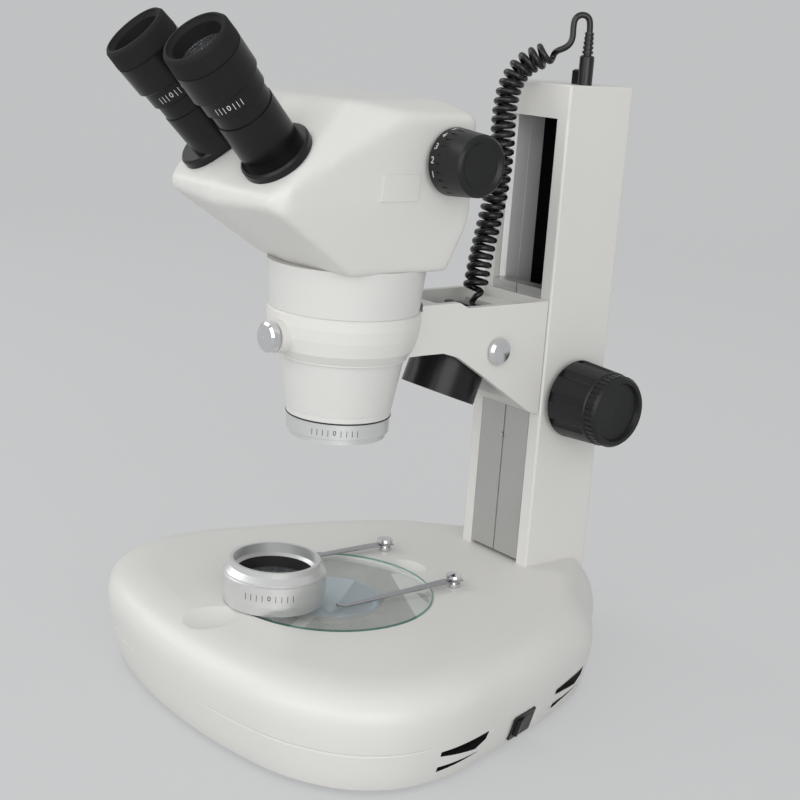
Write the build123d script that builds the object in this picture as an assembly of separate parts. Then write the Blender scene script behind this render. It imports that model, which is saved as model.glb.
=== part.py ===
from build123d import *
import os
from math import atan2, cos, degrees, hypot, pi, radians, sin, tan

os.makedirs("parts", exist_ok=True)

# Binocular stereo microscope on a wide pillar stand, in millimetres, +Z up.
# The user sits at -Y. The origin is on the table, under the middle of the object.
# Depths are measured along +Y from the middle of the glass plate, at STAGE_Y.

STAGE_Y = -33.89          # middle of the glass plate, ahead of the middle of the object
AXIS_DEPTH = -2.0         # optical axis
RUN_GAP = 0.06            # running clearance of turning parts, on the radius
SLIDE_GAP = 0.15          # clearance of sliding faces
AIR = 0.4                 # gap between parts that must not rub

# Base
BASE_FRONT = 103.0
BASE_REAR = 200.0
BASE_HALF_WIDTH = 134.0
BASE_WIDEST_Y = -22.5
BASE_CORNER = (95.0, -87.0)
BASE_ROUND = ((46.0, -100.0), BASE_CORNER, (118.0, -70.0), (131.0, -47.0))
BASE_FLANK = ((126.0, 26.0), (109.0, 89.0))
BASE_TAIL = ((92.0, 128.0), (68.0, 155.0), (28.0, 193.0))
BASE_TOP = 60.4
BASE_LEVELS = ((3.0, 0.0, 0.0), (16.0, 4.4, 1.5), (30.0, 7.8, 2.8), (42.0, 10.3, 7.0),
               (50.0, 9.8, 12.0), (56.0, 4.5, 10.0), (59.0, -4.0, 4.0), (BASE_TOP, -18.0, 0.0))
BASE_WALL = 8.0
BASE_ROOF = 9.0
FOOT_HEIGHT = 3.0
FOOT_RADIUS = 11.0
FLOOR_THICK = 3.0
BAND_LOW = 25.7
BAND_HEIGHT = 4.1
BAND_DEPTH = 1.4
BAND_END_Y = -27.0
INLET_DEPTH = 11.0

# Side vents and rocker switch
VENT_LENGTH = 39.0
VENT_FLOOR = 9.0
VENT_TOP = 22.2
VENT_PITCH = 54.0
VENT_REACH = 22.0
SWITCH_Y = 47.5
SWITCH_Z = 13.5
BEZEL_LENGTH = 22.0
BEZEL_HEIGHT = 15.5
BEZEL_THICK = 1.6
BEZEL_SINK = 0.6
ROCKER_LENGTH = 15.0
ROCKER_HEIGHT = 10.4
ROCKER_TILT = 9.0

# Stage
PLATE_RADIUS = 62.5
PLATE_THICK = 5.0
PLATE_TOP = 61.0
WINDOW_RADIUS = 32.0
WINDOW_THICK = 2.5
NOTCH_RADIUS = 15.0
NOTCH_DEPTH = 3.4
NOTCH_SPREAD = 1.6
CLIP_POST = ((-39.0, 73.0), (32.5, 71.0))
CLIP_TURN = (-8.0, -3.5)  # clip direction from straight ahead, degrees
CLIP_LENGTH = 88.0
CLIP_WIDTH = 6.4
CLIP_THICK = 0.8
CLIP_RISE = 3.4

# Auxiliary lens that lies on the plate
AUX_AT = (-4.5, -38.2)
AUX_RADIUS = 30.6
AUX_RIM_RADIUS = 26.6
AUX_HEIGHT = 25.5
AUX_BORE = 24.6
LENS_LAND = 2.4           # flat rim around a lens face

# Column
COL_HALF = 31.15
COL_FRONT = 133.8
COL_DEPTH = 54.4
COL_WALL = 3.0
COL_LIP = 4.0
COL_SLOT_HALF = 22.0
COL_TOP = 345.2
CAP_HEIGHT = 20.6

# Slider, rack and focusing gear
SLIDER_THICK = 12.0
SLIDER_BOTTOM = 63.0
SLIDER_TOP = 241.0
TONGUE = 2.6
TRAVEL = 100.0
GEAR_MODULE = 1.0
PINION_TEETH = 18
FOCUS_Y = 160.0
FOCUS_Z = 171.3
FOCUS_SHAFT_R = 4.0
BUSH_RADIUS = 8.0
BUSH_FLANGE_R = 15.0
BUSH_FLANGE = 2.8
KNOB_INNER_R = 25.0
KNOB_OUTER_R = 22.6
KNOB_LENGTH = 38.5
KNOB_FLUTES = 9
KNOB_TEETH = 40

# Arm
ARM_HALF = 30.0
ARM_WALL = 4.6
ARM_TOP = 235.0
ARM_NECK_TOP = 238.6
ARM_CLEAR = 0.8
ARM_FOOT = 203.0          # level that the underside of the arm is drawn from
RING_BOTTOM = 207.5
RING_RADIUS = 44.6
RING_FOOT_R = 37.4
MOUNT_RADIUS = 38.0       # head mount bore, 76 mm
LAMP_WELL = (56.8, 113.5)
SCREW_SEAT = 6.0
ARM_FLOOR_DROP = 6.0
CLAMP_Z = 221.0
CLAMP_HEAD_R = 8.6
CLAMP_HEAD_L = 6.5
CLAMP_OUT = 3.5           # clamp boss beyond the ring

# Upper lamp
LAMP_RADIUS = 23.4
LAMP_LENGTH = 42.0
LAMP_WALL = 2.2
LAMP_CAP_R = 15.0
LAMP_CAP_TOP = 56.0
GLAND_R = 8.0
LAMP_TILT = 21.0
LAMP_END = (73.8, 176.2)
LAMP_PIVOT = (93.0, 207.0)
PIVOT_RADIUS = 3.0

# Head
HEAD_BOTTOM = 262.0
HEAD_TOP = 355.0
HEAD_TOP_REAR = 346.0
HEAD_BELT = 307.0
HEAD_HALF = (44.0, 54.0, 58.5)   # half width at bottom, belt and top
HEAD_REAR = 43.5
HEAD_REAR_BOTTOM = 36.0
HEAD_FRONT_BOTTOM = 42.0
HEAD_SHOULDER_R = 15.0
HEAD_NOSE_R = 24.0
HEAD_CORNER_R = 24.0
HEAD_WALL = 3.0
CONE_TOP_R = 45.8
CONE_FOOT_R = 43.2
LOWER_TOP_R = 36.3
LOWER_FOOT_R = 31.0
LOWER_FOOT_Z = 176.6
COLLAR_R = 30.6
LENS_RING_R = 30.2
LENS_TOP = 172.0
LENS_BOTTOM = 159.8
ZOOM_Y = 21.0
ZOOM_Z = 324.3
ZOOM_INNER_R = 18.6
ZOOM_OUTER_R = 16.8
ZOOM_LENGTH = 24.0
ZOOM_SHAFT_R = 4.0
ZOOM_BUSH_R = 9.0
ZOOM_RIBS = 24

# Eyetubes and eyepieces, heights along the tube from the sloping face
TUBE_TILT = 45.9          # tube axes above the horizontal, degrees
TUBE_SPLAY = 5.1          # each tube outward from straight ahead, degrees
FACE_Y = -75.6
FACE_Z = 326.0
FACE_LIFT = 0.6           # ridge of the face above its reference line
FLANGE_SEAT = -2.2
FLANGE_X = 30.4
FLANGE_R = 20.0
FLANGE_THICK = 5.0
TUBE_OFFSET = 7.2         # tube centre inward of the flange centre
TUBE_RISE = 2.3           # tube centre up the slope from the flange centre
SPIGOT_R = 18.0
SPIGOT_DEPTH = 7.0
TUBE_R = 16.5
TUBE_TOP = 28.2
EYE_SLEEVE_R = 14.6
EYE_SLEEVE_FOOT = 12.0
EYE_BODY_R = 15.9
EYE_BAND_AT = 36.8
EYE_BAND_R = 17.2
NECK_R = 15.2
DIOPTER_AT = 46.8
DIOPTER_R = 18.9
CUP_AT = 64.2
CUP_TOP = 76.0
CUP_R = 19.0
EYE_BORE = 11.5

# Lamp cord: plug on the cap, lead over a small loop, then the curly part
PLUG_AT = (25.0, 151.0)
PLUG_R = 4.4
PLUG_HEIGHT = 17.5
RELIEF_HEIGHT = 13.5
RELIEF_R = 3.3
WIRE_R = 1.9
COIL_R = 7.6
COIL_LEAN = 9.0


def y_of(depth):
    """Part Y of a depth measured from the middle of the glass plate."""
    return STAGE_Y + depth


def rod(radius, length, at, direction=(0, 0, 1)):
    """Cylinder that starts at a point and runs along a direction."""
    return extrude(Plane(origin=at, z_dir=direction) * Circle(radius), amount=length)


def turned(profile, at=(0, 0, 0), direction=(0, 0, 1)):
    """Solid of revolution from (radius, height) points, set on a point and direction."""
    face = make_face(Plane.XZ * Polyline(*profile, close=True))
    solid = revolve(face, Axis.Z)
    return Plane(origin=at, z_dir=direction) * solid


def block(x_span, y_span, z_span):
    """Box between pairs of limits."""
    size = [high - low for low, high in (x_span, y_span, z_span)]
    middle = [(high + low) / 2 for low, high in (x_span, y_span, z_span)]
    return Pos(*middle) * Box(*size)


def side_slab(points, half_width):
    """Outline in depth and height, extruded equally to both sides."""
    face = make_face(Plane.YZ * Polyline(*points, close=True))
    return extrude(face, amount=half_width, both=True)


def group(*solids):
    """Several separate solids of one node."""
    return Compound(children=list(solids))


# Base

def outline_points(flare=0.0, pinch=0.0):
    """Plan points of the base around from the front, moved outward by a flare."""
    widest = (BASE_HALF_WIDTH, BASE_WIDEST_Y)
    half = [(0, -BASE_FRONT), *BASE_ROUND, widest, *BASE_FLANK, *BASE_TAIL, (0, BASE_REAR)]
    middle_y = (BASE_REAR - BASE_FRONT) / 2
    drawn = []
    for x, y in half:
        towards_tail = min(max(y / BASE_TAIL[1][1], 0), 1)
        share = 1 + (flare - pinch * towards_tail) / hypot(x, y - middle_y)
        drawn.append((x * share, y_of(middle_y + (y - middle_y) * share)))
    mirrored = [(-x, y) for x, y in reversed(drawn[1:-1])]
    return drawn + mirrored


def base_curve(height, flare=0.0, pinch=0.0):
    points = [Vector(x, y, height) for x, y in outline_points(flare, pinch)]
    return Edge.make_spline(points, periodic=True)


def base_slice(height, flare=0.0, pinch=0.0):
    return make_face(Wire([base_curve(height, flare, pinch)]))


def base_slab(low, high, flare=0.0, pinch=0.0):
    return extrude(base_slice(low, flare, pinch), amount=high - low, dir=(0, 0, 1))


def flare_at(height):
    """Flare and tail pinch of the base wall at a height."""
    for below, above in zip(BASE_LEVELS, BASE_LEVELS[1:]):
        if height <= above[0]:
            break
    share = (height - below[0]) / (above[0] - below[0])
    return [low + share * (high - low) for low, high in zip(below[1:], above[1:])]


def wall_at(depth, height):
    """X of the base wall on the right at a depth and height, and its turn towards +Y."""
    curve = base_curve(height, *flare_at(height))
    right = [t / 400 for t in range(401) if curve.position_at(t / 400).X > 0]
    nearest = min(right, key=lambda t: abs(curve.position_at(t).Y - y_of(depth)))
    along = curve.tangent_at(nearest)
    return curve.position_at(nearest).X, degrees(atan2(abs(along.X), abs(along.Y)))


def vent_cutters(middle):
    """Two slots of a vent, with a tapering fin left between them."""
    front = y_of(middle - VENT_LENGTH / 2)
    rear = front + VENT_LENGTH
    height = VENT_TOP - VENT_FLOOR
    upper = [(front, VENT_TOP), (rear, VENT_TOP), (rear - 1.5, VENT_TOP - 0.36 * height),
             (rear - 10, VENT_FLOOR + 0.38 * height), (front, VENT_TOP - 0.22 * height)]
    lower = [(front, VENT_FLOOR), (front, VENT_FLOOR + 0.24 * height),
             (rear - 4, VENT_FLOOR + 0.16 * height)]
    cutters = []
    for points in (upper, lower):
        start = Plane.YZ.offset(wall_at(middle, VENT_FLOOR)[0] - VENT_REACH)
        face = make_face(start * Polyline(*points, close=True))
        cutters.append(extrude(face, amount=2 * VENT_REACH, dir=(1, 0, 0)))
    return cutters


def switch_frame():
    """Frame on the base wall at the switch, Z outward, X up along the leaning wall."""
    low = SWITCH_Z - BEZEL_HEIGHT / 2
    high = SWITCH_Z + BEZEL_HEIGHT / 2
    x, turn = wall_at(SWITCH_Y, SWITCH_Z)
    run = wall_at(SWITCH_Y, high)[0] - wall_at(SWITCH_Y, low)[0]
    lean = atan2(run * cos(radians(turn)), BEZEL_HEIGHT)
    across = Vector(cos(radians(turn)), sin(radians(turn)), 0)
    up = across * sin(lean) + Vector(0, 0, cos(lean))
    outward = across * cos(lean) - Vector(0, 0, sin(lean))
    return Plane(origin=(x, y_of(SWITCH_Y), SWITCH_Z), x_dir=up, z_dir=outward)


def base_body():
    """Outside of the base, lofted through its levels."""
    return loft([base_slice(*level) for level in BASE_LEVELS])


def groove_cutter():
    """Groove round the front of the base, up to the switch on either side."""
    top = BAND_LOW + BAND_HEIGHT
    flare, pinch = flare_at(BAND_LOW)
    ring = base_slab(BAND_LOW, top, flare + 5, pinch) - base_slab(BAND_LOW, top, flare - BAND_DEPTH, pinch)
    reach = BASE_HALF_WIDTH + 20
    return ring & block((-reach, reach), (y_of(-BASE_FRONT - 20), y_of(BAND_END_Y)), (0, BASE_TOP))


def base_housing():
    """Cast base with its plate seat, vents, switch hole, inlet hole and pillar hole."""
    roof = BASE_TOP - BASE_ROOF
    body = base_body()
    body -= base_slab(0, FOOT_HEIGHT + FLOOR_THICK, -BASE_WALL / 2)
    body -= base_slab(0, roof, -BASE_WALL)
    body -= groove_cutter()
    centre = (0, y_of(0))
    floor = PLATE_TOP - PLATE_THICK
    body -= rod(PLATE_RADIUS + AIR, PLATE_THICK * 2, (*centre, floor))
    body -= rod(WINDOW_RADIUS - 2, BASE_TOP, (*centre, roof - 1))
    body -= rod(WINDOW_RADIUS + SLIDE_GAP, PLATE_THICK, (*centre, floor - WINDOW_THICK))
    body -= finger_notches()
    body -= block((-COL_HALF - AIR / 2, COL_HALF + AIR / 2),
                  (y_of(COL_FRONT) - AIR / 2, y_of(COL_FRONT + COL_DEPTH) + AIR / 2),
                  (FOOT_HEIGHT + FLOOR_THICK - 1, BASE_TOP + 5))
    for x, y in CLIP_POST:
        body -= rod(2.5 + RUN_GAP, 12, (x, y_of(y), BASE_TOP - 10))
    for middle in (SWITCH_Y - VENT_PITCH, SWITCH_Y + VENT_PITCH):
        for cutter in vent_cutters(middle):
            body -= cutter
            body -= mirror(cutter, Plane.YZ)
    hole = Rectangle(BEZEL_HEIGHT - 3, BEZEL_LENGTH - 3)
    body -= extrude(switch_frame() * hole, amount=25, both=True)
    seat = RectangleRounded(BEZEL_HEIGHT + AIR / 2, BEZEL_LENGTH + AIR / 2, 1)
    body -= extrude(switch_frame().offset(-BEZEL_SINK) * seat, amount=10)
    rear = y_of(BASE_REAR)
    body -= block((-14, 14), (rear - 40, rear + 15), (9, 27))
    body -= block((-16.3, 16.3), (rear, rear + 15), (7.2, 28.8))
    return body


def finger_notches():
    """Two thumb scoops in the top, before and behind the plate."""
    ball = NOTCH_RADIUS * NOTCH_SPREAD
    centre_z = BASE_TOP - NOTCH_DEPTH + ball
    return [Pos(0, y_of(side * (PLATE_RADIUS + 6)), centre_z) * Sphere(ball) for side in (-1, 1)]


def base_floor():
    plate = base_slab(FOOT_HEIGHT, FOOT_HEIGHT + FLOOR_THICK, -BASE_WALL / 2 - SLIDE_GAP)
    for x, y in foot_places():
        plate -= rod(2.2, FLOOR_THICK * 2, (x, y, FOOT_HEIGHT - 1))
    return plate


def foot_places():
    front_x, front_y = BASE_CORNER
    rear_x, rear_y = BASE_TAIL[1]
    spots = [(front_x - 18, front_y + 20), (rear_x - 18, rear_y + 5)]
    return [(side * x, y_of(y)) for x, y in spots for side in (-1, 1)]


def rubber_feet():
    feet = []
    for x, y in foot_places():
        foot = turned([(0, 0), (FOOT_RADIUS - 1, 0), (FOOT_RADIUS, 1), (FOOT_RADIUS, FOOT_HEIGHT),
                       (0, FOOT_HEIGHT)], (x, y, 0))
        stem = rod(2.2, FLOOR_THICK + 1.5, (x, y, FOOT_HEIGHT))
        feet.append(foot + stem)
    return group(*feet)


def frosted_window():
    centre = (0, y_of(0), PLATE_TOP - PLATE_THICK - WINDOW_THICK)
    return rod(WINDOW_RADIUS, WINDOW_THICK, centre)


def lower_lamp():
    """Lower light: a round board with a ring of small lamps, on three pillars."""
    floor = FOOT_HEIGHT + FLOOR_THICK
    centre_y = y_of(0)
    board = rod(28, 1.6, (0, centre_y, floor + 12))
    for spot in range(3):
        angle = radians(30 + 120 * spot)
        board += rod(2.5, 12.4, (23 * cos(angle), centre_y + 23 * sin(angle), floor))
    for spot in range(12):
        angle = 2 * pi * spot / 12
        board += rod(2.5, 4, (18 * cos(angle), centre_y + 18 * sin(angle), floor + 13))
    return board


def driver_board():
    """Lamp driver: a board on four pillars, with its transformer and capacitors."""
    floor = FOOT_HEIGHT + FLOOR_THICK
    y0 = y_of(COL_FRONT) - 46
    board = block((-34, 34), (y0, y0 + 40), (floor + 6, floor + 7.6))
    for x in (-30, 30):
        for y in (y0 + 4, y0 + 36):
            board += rod(2.5, 6.2, (x, y, floor))
    board += block((-28, -4), (y0 + 8, y0 + 30), (floor + 7, floor + 25))
    board += rod(6, 18, (8, y0 + 14, floor + 7)) + rod(6, 18, (24, y0 + 14, floor + 7))
    board += block((4, 28), (y0 + 26, y0 + 34), (floor + 7, floor + 16))
    return board


def power_inlet():
    """Three-pin mains inlet, seated in a flat of the rear wall."""
    seat = y_of(BASE_REAR)
    inner = seat - INLET_DEPTH
    body = block((-13.8, 13.8), (inner, seat), (9.2, 26.8))
    body += block((-16, 16), (seat, seat + 1.4), (7.5, 28.5))
    body -= block((-11, 11), (inner + 2, seat + 5), (12, 24))
    for x, z in ((-6, 16), (0, 20), (6, 16)):
        body += block((x - 1, x + 1), (inner + 1, seat - 2), (z - 2, z + 2))
    return body


def switch_bezel():
    frame = switch_frame().offset(-BEZEL_SINK)
    bezel = extrude(frame * RectangleRounded(BEZEL_HEIGHT, BEZEL_LENGTH, 1), amount=BEZEL_THICK)
    tub = Rectangle(BEZEL_HEIGHT - 3.4, BEZEL_LENGTH - 3.4)
    bezel += extrude(frame * tub, amount=-14)
    well = Rectangle(ROCKER_HEIGHT + AIR, ROCKER_LENGTH + AIR)
    bezel -= extrude(frame.offset(BEZEL_THICK) * well, amount=-10)
    return bezel


def rocker_frame():
    """Frame on the rocker's pivot line, X along it."""
    return switch_frame() * Pos(0, 0, BEZEL_THICK - BEZEL_SINK - 1)


def power_rocker():
    """Rocker of the switch, a shallow V across its length, tipped to off."""
    half = ROCKER_LENGTH / 2
    outline = [(-half + 1.1, -3), (half - 1.1, -3), (half, 0), (half - 0.3, 2.2), (0, 1.2),
               (-half + 0.3, 2.2), (-half, 0)]
    body = side_slab(outline, ROCKER_HEIGHT / 2)
    return rocker_frame() * Rot(ROCKER_TILT, 0, 0) * body


# Stage

def glass_plate():
    centre = (0, y_of(0), PLATE_TOP - PLATE_THICK)
    plate = rod(PLATE_RADIUS, PLATE_THICK, centre)
    return chamfer(plate.edges(), 0.5)


def clip_frame(number):
    """Frame at a clip's post, with Y along the clip towards the front."""
    x, y = CLIP_POST[number]
    ahead = radians(CLIP_TURN[number])
    forward = Vector(sin(ahead), -cos(ahead), 0)
    x_dir = forward.cross(Vector(0, 0, 1))
    return Plane(origin=(x, y_of(y), BASE_TOP), x_dir=x_dir, z_dir=(0, 0, 1))


def clip_post(number):
    """Chrome post of a clip, with its mushroom head."""
    spike = [(0, -9), (2.5, -9), (2.5, 0.3), (4.2, 0.3), (4.2, 2.2), (2.6, 2.2),
             (2.6, CLIP_RISE + 1.3), (4.6, CLIP_RISE + 1.5), (5.2, CLIP_RISE + 2.6),
             (4.9, CLIP_RISE + 4.2), (0, CLIP_RISE + 4.8)]
    return clip_frame(number) * turned(spike)


def clip_leaf(number):
    """Spring steel leaf, bent down to the plate, with a curled tip."""
    half = CLIP_WIDTH / 2
    plan = Polyline((-half, -5), (half, -5), (half, 12), (half * 0.45, CLIP_LENGTH - 2),
                    (-half * 0.45, CLIP_LENGTH - 2), (-half, 12), close=True)
    low = PLATE_TOP - BASE_TOP + 0.25
    rise = CLIP_RISE
    path = [(-6, rise), (10, rise), (CLIP_LENGTH - 8, low), (CLIP_LENGTH, low + 2.2)]
    under = [(y, z) for y, z in path]
    upper = [(y, z + CLIP_THICK) for y, z in reversed(path)]
    strip = side_slab(under + upper, CLIP_WIDTH)
    leaf = strip & extrude(make_face(plan), amount=20, both=True)
    leaf -= rod(2.6 + RUN_GAP, 20, (0, 0, -5))
    return clip_frame(number) * leaf


# Auxiliary lens

def aux_ring():
    r, h = AUX_RADIUS, AUX_HEIGHT
    outer = [(r - 1.2, 0), (r - 0.6, 4.5), (r - 0.6, 5.2), (r, 5.6), (r, h - 8), (r - 1, h - 7.4),
             (r - 1, h - 6.6), (AUX_RIM_RADIUS, h - 3.5), (AUX_RIM_RADIUS, h)]
    inner = [(AUX_BORE, h), (AUX_BORE, h - 6), (AUX_BORE - 2, h - 7.5), (AUX_BORE - 2, 3.5),
             (AUX_BORE - 3.4, 3.5), (AUX_BORE - 3.4, 0)]
    return turned(outer + inner, (AUX_AT[0], y_of(AUX_AT[1]), PLATE_TOP))


def lens_disc(radius, edge, bulge):
    """Lens with a flat rim and two domed faces, its lower rim at height zero."""
    dome = radius - LENS_LAND
    ball = (dome ** 2 + bulge ** 2) / (2 * bulge)
    body = Pos(0, 0, edge / 2) * Cylinder(dome, edge + 2 * bulge)
    body &= Pos(0, 0, edge + bulge - ball) * Sphere(ball)
    body &= Pos(0, 0, ball - bulge) * Sphere(ball)
    return body + rod(radius, edge, (0, 0, 0))


def aux_glass():
    return Pos(AUX_AT[0], y_of(AUX_AT[1]), PLATE_TOP + 7.5) * lens_disc(AUX_BORE - 2, 3.5, 3.2)


# Column

def column_section():
    """C-shaped section of the pillar, open to the front."""
    front = y_of(COL_FRONT)
    outer = Pos(0, front + COL_DEPTH / 2) * RectangleRounded(2 * COL_HALF, COL_DEPTH, 1.5)
    half_in = COL_HALF - COL_WALL
    hollow_depth = COL_DEPTH - COL_LIP - COL_WALL
    outer -= Pos(0, front + COL_LIP + hollow_depth / 2) * Rectangle(2 * half_in, hollow_depth)
    outer -= Pos(0, front) * Rectangle(2 * COL_SLOT_HALF, 2 * COL_LIP + 1)
    return outer


def column_housing():
    low = FOOT_HEIGHT + FLOOR_THICK
    pillar = extrude(Plane.XY.offset(low) * column_section(), amount=COL_TOP - low)
    axle = rod(BUSH_RADIUS, 4 * COL_HALF, (-2 * COL_HALF, y_of(FOCUS_Y), FOCUS_Z), (1, 0, 0))
    return pillar - axle


def column_cap():
    front = y_of(COL_FRONT)
    middle = front + COL_DEPTH / 2
    plan = Plane.XY.offset(COL_TOP) * Pos(0, middle) * RectangleRounded(2 * COL_HALF, COL_DEPTH, 1.5)
    cap = extrude(plan, amount=CAP_HEIGHT)
    cap = fillet(cap.edges().group_by(Axis.Z)[-1], 1.2)
    hollow = block((-COL_HALF + 4, COL_HALF - 4), (front + 4, front + COL_DEPTH - 4),
                   (COL_TOP - 1, COL_TOP + CAP_HEIGHT - 4))
    cap -= hollow
    x, y = PLUG_AT
    cap -= rod(4.2, 30, (x, y_of(y), COL_TOP + 2))
    return cap


def cap_jack():
    """Low-voltage socket in the cap, open at the top for the plug."""
    x, y = PLUG_AT
    top = COL_TOP + CAP_HEIGHT
    shell = [(1.7, -9), (4.1, -9), (4.1, 0), (1.7, 0)]
    return turned(shell, (x, y_of(y), top))


def guide_rails():
    """Two aluminium rails with a V groove, fixed inside the pillar walls."""
    inner = COL_SLOT_HALF + 0.5
    outer = COL_HALF - COL_WALL
    front = y_of(COL_FRONT) + COL_LIP
    groove_y = front + 4
    low = BASE_TOP - 3
    bar = block((inner, outer), (front, front + SLIDER_THICK + 5.5), (low, COL_TOP))
    slot = Polyline((inner - 1, groove_y - TONGUE - 1), (inner + TONGUE, groove_y),
                    (inner - 1, groove_y + TONGUE + 1), close=True)
    bar -= extrude(Plane.XY.offset(low - 1) * make_face(slot), amount=COL_TOP, dir=(0, 0, 1))
    return group(bar, mirror(bar, Plane.YZ))


# Carriage

def slider_bar():
    """Long bar that fills the slot, with V tongues that run in the rails."""
    half = COL_SLOT_HALF - 0.3
    front = y_of(COL_FRONT)
    groove_y = front + COL_LIP + 4
    tip = COL_SLOT_HALF + 0.5 + TONGUE - SLIDE_GAP
    rise = tip - half
    right = [(half, front), (half, groove_y - rise), (tip, groove_y),
             (half, groove_y + rise), (half, front + SLIDER_THICK)]
    left = [(-x, y) for x, y in reversed(right)]
    section = make_face(Polyline(*right, *left, close=True))
    length = SLIDER_TOP - SLIDER_BOTTOM
    bar = extrude(Plane.XY.offset(SLIDER_BOTTOM) * section, amount=length, dir=(0, 0, 1))
    bar -= block((-0.6, 0.6), (front - 1, front + 0.8), (SLIDER_BOTTOM - 1, SLIDER_TOP + 1))
    for x, z in arm_screw_places():
        bar -= rod(2.6, 9, (x, front - 1, z), (0, 1, 0))
    return bar


def focus_rack():
    """Straight rack on the slider's back, its teeth facing the pinion."""
    pitch = pi * GEAR_MODULE
    pitch_y = y_of(FOCUS_Y) - PINION_TEETH * GEAR_MODULE / 2
    back = y_of(COL_FRONT) + SLIDER_THICK
    root_y = pitch_y - 1.2 * GEAR_MODULE
    count_up = 3
    count_down = int(TRAVEL / pitch) + 3
    points = [(back, FOCUS_Z - count_down * pitch)]
    for step in range(-count_down, count_up):
        middle = FOCUS_Z + (step + 0.5) * pitch
        points += [(root_y, middle - 0.98), (pitch_y + 0.75, middle - 0.36),
                   (pitch_y + 0.75, middle + 0.36), (root_y, middle + 0.98)]
    points.append((back, FOCUS_Z + count_up * pitch))
    return side_slab(points, 5)


def focus_pinion():
    """Pinion on the focusing shaft, one tooth pointing at the rack."""
    root_r = PINION_TEETH * GEAR_MODULE / 2 - 1.2 * GEAR_MODULE
    tip_r = PINION_TEETH * GEAR_MODULE / 2 + 0.75 * GEAR_MODULE
    tooth = make_face(Polyline((root_r - 1, -1.05), (root_r, -1.0), (tip_r, -0.34), (tip_r, 0.34),
                               (root_r, 1.0), (root_r - 1, 1.05), close=True))
    wheel = Circle(root_r)
    for step in range(PINION_TEETH):
        wheel += Rot(0, 0, 360 * step / PINION_TEETH) * tooth
    wheel -= Circle(FOCUS_SHAFT_R)
    gear = extrude(wheel, amount=4, both=True)
    frame = Plane(origin=(0, y_of(FOCUS_Y), FOCUS_Z), x_dir=(0, -1, 0), z_dir=(1, 0, 0))
    return frame * gear


def focus_bushes():
    """Flanged bearing bushes in the pillar walls."""
    wall = COL_HALF - COL_WALL
    bore = FOCUS_SHAFT_R + RUN_GAP
    shape = [(bore, 0), (BUSH_RADIUS, 0), (BUSH_RADIUS, COL_WALL), (BUSH_FLANGE_R, COL_WALL),
             (BUSH_FLANGE_R, COL_WALL + BUSH_FLANGE), (bore, COL_WALL + BUSH_FLANGE)]
    return group(*[turned(shape, (side * wall, y_of(FOCUS_Y), FOCUS_Z), (side, 0, 0))
                   for side in (-1, 1)])


def knob_start():
    return COL_HALF + BUSH_FLANGE + AIR


def focus_shaft():
    reach = knob_start() + KNOB_LENGTH - 8
    return rod(FOCUS_SHAFT_R, 2 * reach, (-reach, y_of(FOCUS_Y), FOCUS_Z), (1, 0, 0))


def focus_knob(side):
    """Tapered knob with wide flutes, a toothed rim and a dished face."""
    length, big, small = KNOB_LENGTH, KNOB_INNER_R, KNOB_OUTER_R
    shell = [(0, 0), (big - 1.5, 0), (big, 1.5), (small + 0.8, length - 9), (small, length - 8.2),
             (small, length - 2), (small - 1.6, length), (small - 4, length),
             (small - 5, length - 2.5), (0, length - 3.6)]
    knob = turned(shell)
    lean = degrees(atan2(big - small, length))
    for step in range(KNOB_FLUTES):
        flute = Pos(big + 3.4, 0, 2) * Rot(0, -lean, 0) * rod(5, length - 12, (0, 0, 0))
        knob -= Rot(0, 0, 360 * step / KNOB_FLUTES) * flute
    notch = Pos(small + 0.4, 0, length - 4.2) * Box(1.6, 0.9, 7)
    for step in range(KNOB_TEETH):
        knob -= Rot(0, 0, 360 * step / KNOB_TEETH) * notch
    knob -= rod(FOCUS_SHAFT_R, length - 8, (0, 0, 0))
    frame = Plane(origin=(side * knob_start(), y_of(FOCUS_Y), FOCUS_Z), z_dir=(side, 0, 0))
    return frame * knob


def arm_side_outline():
    """Side view of the arm: neck, straight top, rear face and arched underside."""
    rear = y_of(COL_FRONT) - ARM_CLEAR
    under = [(y_of(20), ARM_FOOT + 6), (y_of(36), ARM_FOOT + 6.2), (y_of(50), ARM_FOOT + 6),
             (y_of(62), ARM_FOOT + 2.5), (y_of(85), ARM_FOOT - 12),
             (y_of(125), ARM_FOOT - 38), (rear, ARM_FOOT - 40)]
    top = [(rear, ARM_TOP), (y_of(67), ARM_TOP), (y_of(60), ARM_NECK_TOP), (y_of(20), ARM_NECK_TOP)]
    return under + top


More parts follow.
